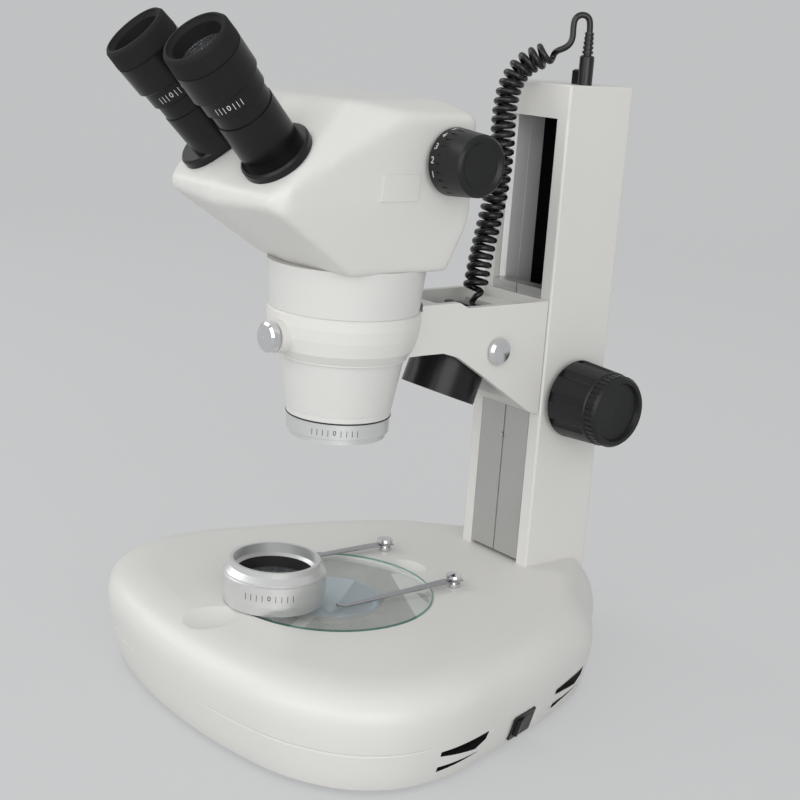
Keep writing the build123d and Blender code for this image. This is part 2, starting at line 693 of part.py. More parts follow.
def arm_casting():
    """Focusing arm: clamping ring, two cheeks around the lamp and a rear block."""
    body = side_slab(arm_side_outline(), ARM_HALF)
    rear = y_of(COL_FRONT) - ARM_CLEAR
    axis_y = y_of(AXIS_DEPTH)
    inner = ARM_HALF - ARM_WALL
    body -= block((-inner, inner), (y_of(LAMP_WELL[0]), y_of(LAMP_WELL[1])), (100, 300))
    body -= block((-inner, inner), (axis_y + RING_RADIUS + 3, rear - 3), (ARM_TOP - ARM_FLOOR_DROP, 300))
    pad = COL_SLOT_HALF - 1.5
    body += block((-pad, pad), (rear - 1, rear + ARM_CLEAR), (ARM_FOOT - 38, ARM_TOP - 2))
    core = MOUNT_RADIUS - 6
    ring = [(core, RING_BOTTOM), (RING_FOOT_R, RING_BOTTOM), (RING_FOOT_R + 4.2, RING_BOTTOM + 6),
            (RING_RADIUS - 0.9, RING_BOTTOM + 14), (RING_RADIUS, RING_BOTTOM + 21),
            (RING_RADIUS, ARM_TOP - 1), (RING_RADIUS - 1, ARM_TOP), (core, ARM_TOP)]
    body += turned(ring, (0, axis_y, 0))
    body += rod(9.4, 7 + CLAMP_OUT, (0, axis_y - RING_RADIUS + 7, CLAMP_Z), (0, -1, 0))
    body -= rod(RING_RADIUS + AIR, 10, (0, axis_y, ARM_TOP))
    body -= rod(MOUNT_RADIUS, 60, (0, axis_y, RING_BOTTOM - 8))
    body -= rod(3.1, 30, (0, axis_y - RING_RADIUS + 20, CLAMP_Z), (0, -1, 0))
    y, z = LAMP_PIVOT
    body -= rod(PIVOT_RADIUS + RUN_GAP, 3 * ARM_HALF, (-1.5 * ARM_HALF, y_of(y), z), (1, 0, 0))
    for x, screw_z in arm_screw_places():
        body -= rod(2.6, 30, (x, rear - 25, screw_z), (0, 1, 0))
        body -= rod(4.6, 20, (x, rear - SCREW_SEAT - 20, screw_z), (0, 1, 0))
    return body


def arm_screw_places():
    return [(x, z) for x in (-12, 12) for z in (ARM_FOOT - 22, ARM_FOOT + 10)]


def carriage_screws():
    """Four socket screws that hold the arm on the slider, and the slider's stop screw."""
    seat = y_of(COL_FRONT) - ARM_CLEAR - SCREW_SEAT
    screws = []
    for x, z in arm_screw_places():
        screw = turned([(0, -13), (2.5, -13), (2.5, 0), (4.4, 0), (4.4, 4.4), (1.6, 4.4), (1.6, 2),
                        (0, 2)], (x, seat, z), (0, -1, 0))
        screws.append(screw)
    stop = rod(1.8, 0.9, (-1.6, y_of(COL_FRONT), FOCUS_Z - 30), (0, -1, 0))
    return group(*screws, stop)


def head_clamp():
    """Chrome thumb screw at the front of the ring, its tip close to the head's spigot."""
    length = CLAMP_HEAD_L
    tip = MOUNT_RADIUS + RUN_GAP - RING_RADIUS - CLAMP_OUT
    shape = [(0, tip), (3, tip), (3, 0.3), (CLAMP_HEAD_R - 1, 0.3), (CLAMP_HEAD_R, 1.2),
             (CLAMP_HEAD_R, length - 1.2), (CLAMP_HEAD_R - 1.4, length), (0, length + 0.4)]
    return turned(shape, (0, y_of(AXIS_DEPTH) - RING_RADIUS - CLAMP_OUT, CLAMP_Z), (0, -1, 0))


# Upper lamp

def lamp_frame():
    """Frame at the lamp's open end, Z up along the lamp."""
    lean = radians(LAMP_TILT)
    return Plane(origin=(0, y_of(LAMP_END[0]), LAMP_END[1]), x_dir=(1, 0, 0),
                 z_dir=(0, sin(lean), cos(lean)))


def lamp_housing():
    """Lamp shell with a narrower cap on top."""
    r, h, top = LAMP_RADIUS, LAMP_LENGTH, LAMP_CAP_TOP
    inner = r - LAMP_WALL
    shell = [(inner, 0), (r, 0), (r, h - 1.5), (r - 1.5, h), (LAMP_CAP_R, h), (LAMP_CAP_R, top - 1),
             (LAMP_CAP_R - 1, top), (4.2, top), (4.2, top - 3), (LAMP_CAP_R - 3, top - 3),
             (LAMP_CAP_R - 3, h - 3), (inner, h - 3)]
    body = lamp_frame() * turned(shell)
    y, z = LAMP_PIVOT
    body -= rod(PIVOT_RADIUS + RUN_GAP, 3 * r, (-1.5 * r, y_of(y), z), (1, 0, 0))
    return body


def lamp_lens():
    """Collecting lens inside the lamp's open end."""
    return lamp_frame() * Pos(0, 0, 9) * lens_disc(LAMP_RADIUS - LAMP_WALL, 2.5, 2)


def lamp_source():
    """Light source on its finned heat sink, seated in the lamp."""
    r = LAMP_RADIUS - LAMP_WALL
    sink = [(0, 16), (4, 16), (4, 18), (r, 18), (r, 21), (6, 21), (6, 24)]
    return lamp_frame() * turned(sink + [(r - 8, 24), (r - 8, 26), (0, 26)])


def gland_reach():
    """Distance from the lamp's pivot axis to the gland's rounded top."""
    lean = radians(LAMP_TILT)
    y = LAMP_END[0] + LAMP_CAP_TOP * sin(lean) - LAMP_PIVOT[0]
    z = LAMP_END[1] + LAMP_CAP_TOP * cos(lean) - LAMP_PIVOT[1]
    return hypot(y, z) + 2.5


def cord_gland():
    """Grommet of the lamp, its top rounded about the pivot so that it clears the cord."""
    top = LAMP_CAP_TOP
    shape = [(0, top - 5), (4.2, top - 5), (4.2, top), (GLAND_R, top), (GLAND_R, top + 6), (0, top + 6)]
    y, z = LAMP_PIVOT
    dome = rod(gland_reach(), 4 * GLAND_R, (-2 * GLAND_R, y_of(y), z), (1, 0, 0))
    return lamp_frame() * turned(shape) & dome


def lamp_lock():
    """Chrome lock screw through the right cheek into the lamp."""
    y, z = LAMP_PIVOT
    inner = LAMP_RADIUS - LAMP_WALL - 1
    seat = ARM_HALF - inner + 0.3
    shape = [(0, 0), (PIVOT_RADIUS, 0), (PIVOT_RADIUS, seat), (7.4, seat), (8.2, seat + 1),
             (8.2, seat + 2.9), (6.6, seat + 4.3), (0, seat + 4.9)]
    return turned(shape, (inner, y_of(y), z), (1, 0, 0))


def lamp_pin():
    """Plain pivot pin through the left cheek."""
    y, z = LAMP_PIVOT
    inner = LAMP_RADIUS - LAMP_WALL - 1
    return rod(PIVOT_RADIUS, ARM_HALF - inner, (-inner, y_of(y), z), (-1, 0, 0))


# Head

def face_line():
    """Start and direction of the face's ridge in the side view."""
    tilt = radians(TUBE_TILT)
    start = (y_of(FACE_Y) - cos(tilt) * FACE_LIFT, FACE_Z + sin(tilt) * FACE_LIFT)
    return start, (sin(tilt), cos(tilt))


def head_profile(inset):
    """Side view of the head: rear, sloping top, face, nose and underside."""
    (face_y, face_z), (run, rise) = face_line()
    top_y = face_y + (HEAD_TOP - face_z) * run / rise
    nose_y = face_y - (face_z - HEAD_BELT) * run / rise
    points = [(y_of(HEAD_REAR_BOTTOM), HEAD_BOTTOM), (y_of(HEAD_REAR), HEAD_BOTTOM + 26),
              (y_of(HEAD_REAR), HEAD_TOP_REAR), (top_y, HEAD_TOP), (nose_y, HEAD_BELT),
              (y_of(-HEAD_FRONT_BOTTOM), HEAD_BOTTOM)]
    sketch = make_face(Polyline(*points, close=True))
    rounds = (((nose_y, HEAD_BELT), HEAD_NOSE_R), ((top_y, HEAD_TOP), 14),
              ((y_of(HEAD_REAR), HEAD_TOP_REAR), 12))
    for corner, radius in rounds:
        sketch = fillet(sketch.vertices().sort_by_distance(corner)[0], radius)
    return offset(sketch, -inset) if inset else sketch


def head_front_view(inset):
    low, belt, top = HEAD_HALF
    right = [(low, HEAD_BOTTOM), (belt, HEAD_BELT), (top, HEAD_TOP)]
    left = [(-x, z) for x, z in reversed(right)]
    sketch = make_face(Polyline(*right, *left, close=True))
    sketch = fillet(sketch.vertices().group_by(Axis.Y)[-1], HEAD_SHOULDER_R)
    return offset(sketch, -inset) if inset else sketch


def face_section(inset):
    """Section square to the sloping face: two flats that fall off from a middle ridge."""
    wide = HEAD_HALF[2]
    fall = wide * tan(radians(TUBE_SPLAY))
    points = [(0, 0), (wide, fall), (wide, 200), (-wide, 200), (-wide, fall)]
    section = make_face(Polyline(*points, close=True))
    for corner in ((wide, fall), (-wide, fall)):
        section = fillet(section.vertices().sort_by_distance(corner)[0], HEAD_SHOULDER_R)
    return offset(section, -inset) if inset else section


def plan_section(inset):
    """Plan of the head, with large rounds at the nose and small ones at the rear."""
    (face_y, face_z), (run, rise) = face_line()
    nose_y = face_y - (face_z - HEAD_BELT) * run / rise
    rear_y = y_of(HEAD_REAR)
    plan = Pos(0, (rear_y + nose_y) / 2) * Rectangle(2 * HEAD_HALF[2], rear_y - nose_y)
    plan = fillet(plan.vertices().group_by(Axis.Y)[0], HEAD_CORNER_R)
    plan = fillet(plan.vertices().group_by(Axis.Y)[-1], HEAD_CORNER_R / 3)
    return offset(plan, -inset) if inset else plan


def head_solid(inset):
    """Head as the common part of its side, front, face and plan outlines."""
    side = extrude(Plane.YZ * head_profile(inset), amount=HEAD_HALF[2] + 5, both=True)
    front = extrude(Plane.XZ * head_front_view(inset), amount=200, both=True)
    (face_y, face_z), (run, rise) = face_line()
    along = Plane(origin=(0, face_y, face_z), x_dir=(1, 0, 0), z_dir=(0, run, rise))
    sloped = extrude(along * face_section(inset), amount=200, both=True)
    upright = extrude(Plane.XY.offset(HEAD_BOTTOM - 10) * plan_section(inset), amount=200, dir=(0, 0, 1))
    return side & front & sloped & upright


def tube_frame(side, x, height=0.0, rise=0.0):
    """Frame over the sloping face on one side, Z up along that side's eyetube."""
    up = radians(TUBE_TILT)
    out = radians(TUBE_SPLAY) * side
    straight = Vector(0, -cos(up), sin(up))
    direction = straight * cos(out) + Vector(sin(out), 0, 0)
    sideways = Vector(cos(out), 0, 0) - straight * sin(out)
    slope = Vector(0, sin(up), cos(up))
    origin = Vector(side * x, y_of(FACE_Y), FACE_Z) + slope * rise + direction * height
    return Plane(origin=origin, x_dir=sideways, z_dir=direction)


def flange_frame(side):
    return tube_frame(side, FLANGE_X, FLANGE_SEAT)


def eyepiece_frame(side, height=0.0):
    return tube_frame(side, FLANGE_X - TUBE_OFFSET, height, TUBE_RISE)


def head_shell():
    """Hollow head, open to the barrel, the eyetubes and the zoom shaft."""
    outer = head_solid(0)
    shell = outer - head_solid(HEAD_WALL)
    label = block((-80, 80), (y_of(-24), y_of(1)), (HEAD_BELT - 5, HEAD_BELT + 10))
    shell -= label & (outer - head_solid(0.5))
    shell -= rod(LOWER_FOOT_R - 2, 20, (0, y_of(AXIS_DEPTH), HEAD_BOTTOM - 10))
    shell -= rod(ZOOM_BUSH_R, 200, (-100, y_of(ZOOM_Y), ZOOM_Z), (1, 0, 0))
    for side in (-1, 1):
        hole = Circle(SPIGOT_R + RUN_GAP)
        shell -= extrude(flange_frame(side).offset(4) * hole, amount=-18)
    return shell


def head_barrel():
    """Outer cone on the ring, the mounting spigot in it, and the lower cone."""
    seat = ARM_TOP + 0.1
    bore = LOWER_FOOT_R - 2
    shape = [(bore, HEAD_BOTTOM), (CONE_TOP_R, HEAD_BOTTOM), (CONE_FOOT_R, seat),
             (MOUNT_RADIUS - RUN_GAP, seat), (MOUNT_RADIUS - RUN_GAP, RING_BOTTOM),
             (LOWER_TOP_R, RING_BOTTOM), (LOWER_FOOT_R, LOWER_FOOT_Z), (bore, LOWER_FOOT_Z)]
    return turned(shape, (0, y_of(AXIS_DEPTH), 0))


def lens_collar():
    shape = [(LOWER_FOOT_R - 4, LOWER_FOOT_Z), (COLLAR_R, LOWER_FOOT_Z),
             (COLLAR_R, LENS_TOP + 0.6), (LOWER_FOOT_R - 4, LENS_TOP + 0.6)]
    return turned(shape, (0, y_of(AXIS_DEPTH), 0))


def objective_ring():
    """Screwed-on reducing lens ring, stepped at its lower end."""
    r, top, low = LENS_RING_R, LENS_TOP, LENS_BOTTOM
    shape = [(r - 5, top + 0.6), (r - 1, top + 0.6), (r - 1, top), (r, top), (r, low + 3.6),
             (r - 2, low + 2.9), (r - 2, low), (r - 5, low), (r - 5, low + 4), (r - 7, low + 5),
             (r - 7, low + 9), (r - 5, low + 9)]
    return turned(shape, (0, y_of(AXIS_DEPTH), 0))


def objective_glass():
    place = Pos(0, y_of(AXIS_DEPTH), LENS_BOTTOM + 9)
    return place * lens_disc(LENS_RING_R - 5, 3, 2.5)


def optics_frame():
    """Inner frame: base plate, two zoom tubes and two prism boxes."""
    y0 = y_of(AXIS_DEPTH)
    low = HEAD_BOTTOM + HEAD_WALL
    body = block((-34, 34), (y0 - 24, y0 + 24), (low, low + 3))
    for side in (-1, 1):
        body += rod(10, 44, (side * 12, y0, low))
        body += block((side * 18 - 12, side * 18 + 12), (y0 - 44, y0 + 4), (low + 40, low + 58))
    for side in (-1, 1):
        body -= rod(8, 60, (side * 12, y0, low - 1))
    return body


def zoom_bushes():
    """Two bearing bushes of the zoom shaft in the head's side walls."""
    inner = HEAD_HALF[1] - 5
    length = zoom_start() - AIR - inner
    bushes = []
    for side in (-1, 1):
        place = (side * inner, y_of(ZOOM_Y), ZOOM_Z)
        bush = rod(ZOOM_BUSH_R, length, place, (side, 0, 0))
        bushes.append(bush - rod(ZOOM_SHAFT_R + RUN_GAP, length, place, (side, 0, 0)))
    return group(*bushes)


def zoom_start():
    return HEAD_HALF[2] + 0.3


def zoom_shaft():
    """Shaft across the head, with the cam drum that moves the zoom lenses."""
    reach = zoom_start() + ZOOM_LENGTH - 6
    centre_y = y_of(ZOOM_Y)
    shaft = rod(ZOOM_SHAFT_R, 2 * reach, (-reach, centre_y, ZOOM_Z), (1, 0, 0))
    return shaft + rod(9, 24, (-12, centre_y, ZOOM_Z), (1, 0, 0))


def zoom_knob(side):
    """Ribbed zoom knob, plain at the numbered end, with a dished face."""
    length, big, small = ZOOM_LENGTH, ZOOM_INNER_R, ZOOM_OUTER_R
    shell = [(0, 0), (big - 1, 0), (big, 1), (big - 0.5, 7), (small, length - 1.5),
             (small - 1.5, length), (small - 3, length), (small - 5, length - 1.6), (0, length - 2.2)]
    knob = turned(shell)
    rib = Pos(big + 0.2, 0, (7 + length - 3) / 2) * Box(2.4, 0.9, length - 10)
    for step in range(ZOOM_RIBS):
        knob -= Rot(0, 0, 360 * step / ZOOM_RIBS) * rib
    knob -= rod(ZOOM_SHAFT_R, length - 6, (0, 0, 0))
    frame = Plane(origin=(side * zoom_start(), y_of(ZOOM_Y), ZOOM_Z), z_dir=(side, 0, 0))
    return frame * knob


# Eyetubes and eyepieces

def eyetube(side):
    """Flange that turns on the head, with the tube standing off its centre."""
    flange = turned([(0, -SPIGOT_DEPTH), (SPIGOT_R, -SPIGOT_DEPTH), (SPIGOT_R, 0.1), (FLANGE_R, 0.1),
                     (FLANGE_R, FLANGE_THICK - 1.2), (FLANGE_R - 1.2, FLANGE_THICK), (0, FLANGE_THICK)])
    body = flange_frame(side) * flange + eyepiece_frame(side) * rod(TUBE_R, TUBE_TOP, (0, 0, 0))
    body -= eyepiece_frame(side, EYE_SLEEVE_FOOT) * rod(EYE_SLEEVE_R, TUBE_TOP, (0, 0, 0))
    body -= eyepiece_frame(side, -2 * SPIGOT_DEPTH) * rod(EYE_BORE, 2 * TUBE_TOP, (0, 0, 0))
    return body


def eyepiece_barrel(side):
    """Eyepiece body: sleeve in the tube, waist, band and the neck for the ring."""
    bore = EYE_BORE
    shape = [(bore, EYE_SLEEVE_FOOT), (EYE_SLEEVE_R, EYE_SLEEVE_FOOT), (EYE_SLEEVE_R, TUBE_TOP),
             (EYE_BODY_R, TUBE_TOP), (EYE_BODY_R, EYE_BAND_AT), (EYE_BAND_R, EYE_BAND_AT + 0.8),
             (EYE_BAND_R, DIOPTER_AT), (NECK_R, DIOPTER_AT), (NECK_R, CUP_AT - 2), (bore, CUP_AT - 2)]
    return eyepiece_frame(side) * turned(shape)


def diopter_ring(side):
    """Focusing ring of the eyepiece, closed by a rim over the neck."""
    bore = NECK_R + RUN_GAP
    low = DIOPTER_AT + 0.2
    shape = [(bore, low), (DIOPTER_R - 0.8, low), (DIOPTER_R, low + 0.8), (DIOPTER_R, CUP_AT),
             (EYE_BORE + 1.5, CUP_AT), (EYE_BORE + 1.5, CUP_AT - 1.8), (bore, CUP_AT - 1.8)]
    return eyepiece_frame(side) * turned(shape)


def eyecup(side):
    """Rubber cup, wide at the foot and rolled in at the rim."""
    r, rim = CUP_R, CUP_TOP
    shape = [(EYE_BORE + 2.5, CUP_AT), (r - 0.4, CUP_AT), (r, CUP_AT + 1.2), (r - 0.5, rim - 1.8),
             (r - 1.6, rim - 0.3), (r - 3, rim), (EYE_BORE + 4, rim - 1.2), (EYE_BORE + 2.5, rim - 3)]
    return eyepiece_frame(side) * turned(shape)


def eye_lens(side):
    """Eye lens, seated on the ring inside the cup."""
    return eyepiece_frame(side, CUP_AT) * lens_disc(EYE_BORE + 2.4, 1.2, 1.6)


# Lamp cord

def coil_start(reach):
    """Point straight out from the lamp's pivot, over the gland."""
    lean = radians(COIL_LEAN)
    y, z = LAMP_PIVOT
    return (0, y + reach * sin(lean), z + reach * cos(lean))


def coil_route():
    """Middle line of the curly part, from the lamp's gland to over the cap."""
    route = [coil_start(gland_reach() + 0.2), coil_start(gland_reach() + 11), (-3, 103.5, 257),
             (-5, 109, 275), (-3.5, 112.5, 297), (-3, 114, 322), (-6.5, 116, 345),
             (-6.5, 118.5, 362), (-2.5, 123.5, 374.5), (5, 131.5, 381), (14.3, 138.2, 385.5)]
    return [(x, y_of(d), h) for x, d, h in route]


def lead_route():
    """Middle line of the plain lead, from the coil's end over a loop to the plug."""
    x, d = PLUG_AT
    top = COL_TOP + CAP_HEIGHT + PLUG_HEIGHT + RELIEF_HEIGHT
    before, end = coil_route()[-2:]
    ahead = tuple(e + 0.37 * (e - b) for b, e in zip(before, end))
    loop = [(19.4, 143.0, 392.0), (18.6, 143.4, 398.6), (18.4, 143.7, 403.6), (20.2, 145.7, 406.7),
            (23.2, 149.0, 406.7), (x, d, 403.6), (x, d, top)]
    return [end, ahead] + [(x, y_of(d), h) for x, d, h in loop]


def cord_tube(route, radius):
    """Tube along straight runs joined by arcs as large as the runs allow."""
    points = [Vector(*p) for p in route]
    arcs = []
    for before, here, after in zip(points, points[1:], points[2:]):
        shorter = min((here - before).length, (after - here).length)
        turn = (here - before).get_angle(after - here)
        arcs.append(0.45 * shorter / tan(radians(turn / 2)))
    path = FilletPolyline(*points, radius=arcs)
    start = Plane(origin=points[0], z_dir=points[1] - points[0])
    tube = sweep(start * Circle(radius), path=path)
    print("arc radii", [round(a, 1) for a in arcs], "length", round(path.length, 1),
          "volume share", round(tube.volume / (pi * radius ** 2 * path.length), 4))
    return tube


def lamp_cord_coil():
    return cord_tube(coil_route(), COIL_R)


def lamp_cord_lead():
    return cord_tube(lead_route(), WIRE_R)


def cord_plug():
    """Plug with its pin, side nub and ribbed strain relief, moulded in one."""
    base = COL_TOP + CAP_HEIGHT
    x, y = PLUG_AT[0], y_of(PLUG_AT[1])
    shape = [(0, -7), (1.6, -7), (1.6, 0.1), (PLUG_R, 0.1), (PLUG_R, PLUG_HEIGHT - 1),
             (PLUG_R - 0.8, PLUG_HEIGHT)]
    pitch = RELIEF_HEIGHT / 5
    for rib in range(5):
        low = PLUG_HEIGHT + rib * pitch
        shape += [(WIRE_R + 0.6, low), (WIRE_R + 0.6, low + 0.9), (RELIEF_R - 0.15 * rib, low + 1.1),
                  (RELIEF_R - 0.15 * rib, low + pitch)]
    shape.append((0, PLUG_HEIGHT + RELIEF_HEIGHT))
    nub = block((x - PLUG_R - 4.5, x - PLUG_R + 1), (y - 2.4, y + 2.4), (base + 0.1, base + 9))
    return turned(shape, (x, y, base)) + chamfer(nub.edges().group_by(Axis.Z)[-1], 1)


PARTS = {
    "base_housing": base_housing, "base_floor": base_floor, "rubber_feet": rubber_feet,
    "frosted_window": frosted_window, "lower_lamp": lower_lamp, "driver_board": driver_board,
    "power_inlet": power_inlet, "switch_bezel": switch_bezel, "power_rocker": power_rocker,
    "glass_plate": glass_plate, "aux_lens_ring": aux_ring, "aux_lens_glass": aux_glass,
    "column_housing": column_housing, "column_cap": column_cap, "cap_jack": cap_jack,
    "guide_rails": guide_rails, "focus_bushes": focus_bushes, "slider_bar": slider_bar,
    "focus_rack": focus_rack, "focus_shaft": focus_shaft, "focus_pinion": focus_pinion,
    "arm_casting": arm_casting, "carriage_screws": carriage_screws, "head_clamp_screw": head_clamp,
    "lamp_housing": lamp_housing, "lamp_lens": lamp_lens, "lamp_source": lamp_source,
    "lamp_cord_gland": cord_gland, "lamp_lock_screw": lamp_lock, "lamp_pivot_pin": lamp_pin,
    "head_shell": head_shell, "head_barrel": head_barrel, "lens_collar": lens_collar,
    "objective_ring": objective_ring, "objective_glass": objective_glass,
    "optics_frame": optics_frame, "zoom_bushes": zoom_bushes, "zoom_shaft": zoom_shaft,
    "lamp_cord_coil": lamp_cord_coil, "lamp_cord_lead": lamp_cord_lead, "cord_plug": cord_plug,
}

PAIRED_PARTS = {
    "focus_knob": focus_knob, "zoom_knob": zoom_knob, "eyetube": eyetube,
    "eyepiece_barrel": eyepiece_barrel, "diopter_ring": diopter_ring, "eyecup": eyecup,
    "eye_lens": eye_lens,
}


def main():
    """Writes one STEP file for each piece."""
    solids = {name: make() for name, make in PARTS.items()}
    for name, make in PAIRED_PARTS.items():
        for side, word in ((-1, "left"), (1, "right")):
            solids[f"{name}_{word}"] = make(side)
    for number, word in enumerate(("left", "right")):
        solids[f"clip_post_{word}"] = clip_post(number)
        solids[f"clip_leaf_{word}"] = clip_leaf(number)
    for name, solid in solids.items():
        export_step(solid, f"parts/{name}.step")
    print(len(solids), "pieces")


if __name__ == "__main__":
    main()
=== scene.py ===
import bpy
from math import cos, hypot, pi, radians, sin
from mathutils import Matrix, Vector


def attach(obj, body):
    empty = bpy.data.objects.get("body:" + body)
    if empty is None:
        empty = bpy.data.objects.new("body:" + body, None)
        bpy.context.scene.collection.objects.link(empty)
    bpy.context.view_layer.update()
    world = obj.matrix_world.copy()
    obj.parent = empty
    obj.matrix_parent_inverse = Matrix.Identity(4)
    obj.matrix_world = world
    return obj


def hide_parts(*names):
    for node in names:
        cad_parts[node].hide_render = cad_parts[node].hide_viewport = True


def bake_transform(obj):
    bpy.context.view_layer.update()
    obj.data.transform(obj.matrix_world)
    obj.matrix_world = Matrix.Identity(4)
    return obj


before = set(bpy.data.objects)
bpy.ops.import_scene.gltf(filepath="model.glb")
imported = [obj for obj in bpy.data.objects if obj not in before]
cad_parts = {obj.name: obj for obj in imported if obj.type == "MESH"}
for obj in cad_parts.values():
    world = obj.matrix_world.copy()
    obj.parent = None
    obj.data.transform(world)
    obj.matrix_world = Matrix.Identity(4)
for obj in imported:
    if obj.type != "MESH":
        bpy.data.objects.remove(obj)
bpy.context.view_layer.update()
MM = 0.001


# The camera stands at the right front of the microscope, a little above the head,
# and looks down on it. Its picture is square.
CAMERA_AT = Vector((666.5, -548.0, 397.0)) * MM
CAMERA_TURN = radians(50.03)
CAMERA_DROP = radians(14.37)
CAMERA_ROLL = radians(4.1)
CAMERA_LENS = 66.83

bpy.ops.object.select_all(action="DESELECT")
bpy.ops.object.camera_add(location=CAMERA_AT)
camera = bpy.context.object
camera.name = "photo_camera"
camera.data.lens = CAMERA_LENS
camera.data.sensor_width = 36
camera.data.clip_start = 0.01
ahead = Vector((-sin(CAMERA_TURN) * cos(CAMERA_DROP), cos(CAMERA_TURN) * cos(CAMERA_DROP),
                -sin(CAMERA_DROP)))
level = Vector((cos(CAMERA_TURN), sin(CAMERA_TURN), 0))
upright = level.cross(ahead)
across = level * cos(CAMERA_ROLL) + upright * sin(CAMERA_ROLL)
upward = upright * cos(CAMERA_ROLL) - level * sin(CAMERA_ROLL)
camera.rotation_mode = "QUATERNION"
camera.rotation_quaternion = Matrix((across, upward, -ahead)).transposed().to_quaternion()
bpy.context.scene.camera = camera


# The lamp cord runs from the upper lamp's gland as a curly lead of 3.8 mm wire, over the
# pillar's cap in one small loop, and down into its plug. Both ends show in the photograph.
COIL_ROUTE = ((0, 96.79, 230.9), (0, 98.48, 241.57), (-3, 103.5, 257), (-5, 109, 275), (-3.5, 112.5, 297),
              (-3, 114, 322), (-6.5, 116, 345), (-6.5, 118.5, 362), (-2.5, 123.5, 374.5),
              (5, 131.5, 381), (14.3, 138.2, 385.5))
LEAD_ROUTE = ((14.3, 138.2, 385.5), (17.74, 140.68, 387.17), (19.4, 143.0, 392.0), (18.6, 143.4, 398.6),
              (18.4, 143.7, 403.6), (20.2, 145.7, 406.7), (23.2, 149.0, 406.7), (25, 151, 403.6),
              (25, 151, 396.8))
PLATE_MIDDLE = -33.89     # depth that the routes are measured from
WIRE_RADIUS = 1.9
COIL_RADIUS = 6.0
COIL_TURNS = 32
POINTS_PER_TURN = 14
COIL_TAPER = 2            # turns over which each end of the coil grows to its full width


def place(x, depth, height):
    """Point in metres from millimetres, its depth measured from the stage plate's middle."""
    return Vector((x, depth + PLATE_MIDDLE, height)) * MM


def spline_through(name, points, thickness=0.0, steps=16):
    """Curve object along one NURBS spline."""
    data = bpy.data.curves.new(name, "CURVE")
    data.dimensions = "3D"
    data.resolution_u = steps
    data.bevel_depth = thickness
    data.bevel_resolution = 3
    data.use_fill_caps = True
    spline = data.splines.new("NURBS")
    spline.points.add(len(points) - 1)
    for target, point in zip(spline.points, points):
        target.co = (*point, 1)
    spline.order_u = 3
    spline.use_endpoint_u = True
    curve = bpy.data.objects.new(name, data)
    bpy.context.scene.collection.objects.link(curve)
    return curve


def points_on(curve):
    """Points along a curve that has no thickness."""
    mesh = bpy.data.meshes.new_from_object(curve)
    points = [vertex.co.copy() for vertex in mesh.vertices]
    bpy.data.meshes.remove(mesh)
    return points


def even_points(points, count):
    """Points at equal distances along a line of points, each with its direction."""
    lengths = [0.0]
    for before, after in zip(points, points[1:]):
        lengths.append(lengths[-1] + (after - before).length)
    result = []
    step = 0
    for number in range(count):
        target = lengths[-1] * number / (count - 1)
        while step < len(points) - 2 and lengths[step + 1] < target:
            step += 1
        share = (target - lengths[step]) / max(lengths[step + 1] - lengths[step], 1e-9)
        direction = (points[step + 1] - points[step]).normalized()
        result.append((points[step].lerp(points[step + 1], share), direction))
    return result


def curly(points, turns, radius):
    """Points of a helix about a line, its radius swelling from nothing at both ends."""
    count = turns * POINTS_PER_TURN + 1
    helix = []
    side = Vector((1, 0, 0))
    angle = 0.0
    for number, (point, direction) in enumerate(even_points(points, count)):
        side = (side - direction * side.dot(direction)).normalized()
        edge = min(number, count - 1 - number) / POINTS_PER_TURN
        rise = min(1.0, edge / COIL_TAPER)
        swell = rise * rise * (3 - 2 * rise)
        out = side * cos(angle) + direction.cross(side) * sin(angle)
        helix.append(point + out * radius * swell)
        angle += 2 * pi / POINTS_PER_TURN * rise ** 2
    return helix


coil_line = spline_through("coil_line", [place(*p) for p in COIL_ROUTE])
lead_line = spline_through("lead_line", [place(*p) for p in LEAD_ROUTE])
helix = curly(points_on(coil_line), COIL_TURNS, COIL_RADIUS * MM)
lead = [point for point, _ in even_points(points_on(lead_line), 22)]
for line in (coil_line, lead_line):
    bpy.data.objects.remove(line)
cord_points = helix + lead[1:]
thin_cord = spline_through("thin_cord", cord_points, steps=3)
cord_path = points_on(thin_cord)
bpy.data.objects.remove(thin_cord)
thick_cord = spline_through("thick_cord", cord_points, WIRE_RADIUS * MM, steps=3)
lamp_cord = bpy.data.objects.new("lamp_cord", bpy.data.meshes.new_from_object(thick_cord))
bpy.context.scene.collection.objects.link(lamp_cord)
bpy.data.objects.remove(thick_cord)
for polygon in lamp_cord.data.polygons:
    polygon.use_smooth = True


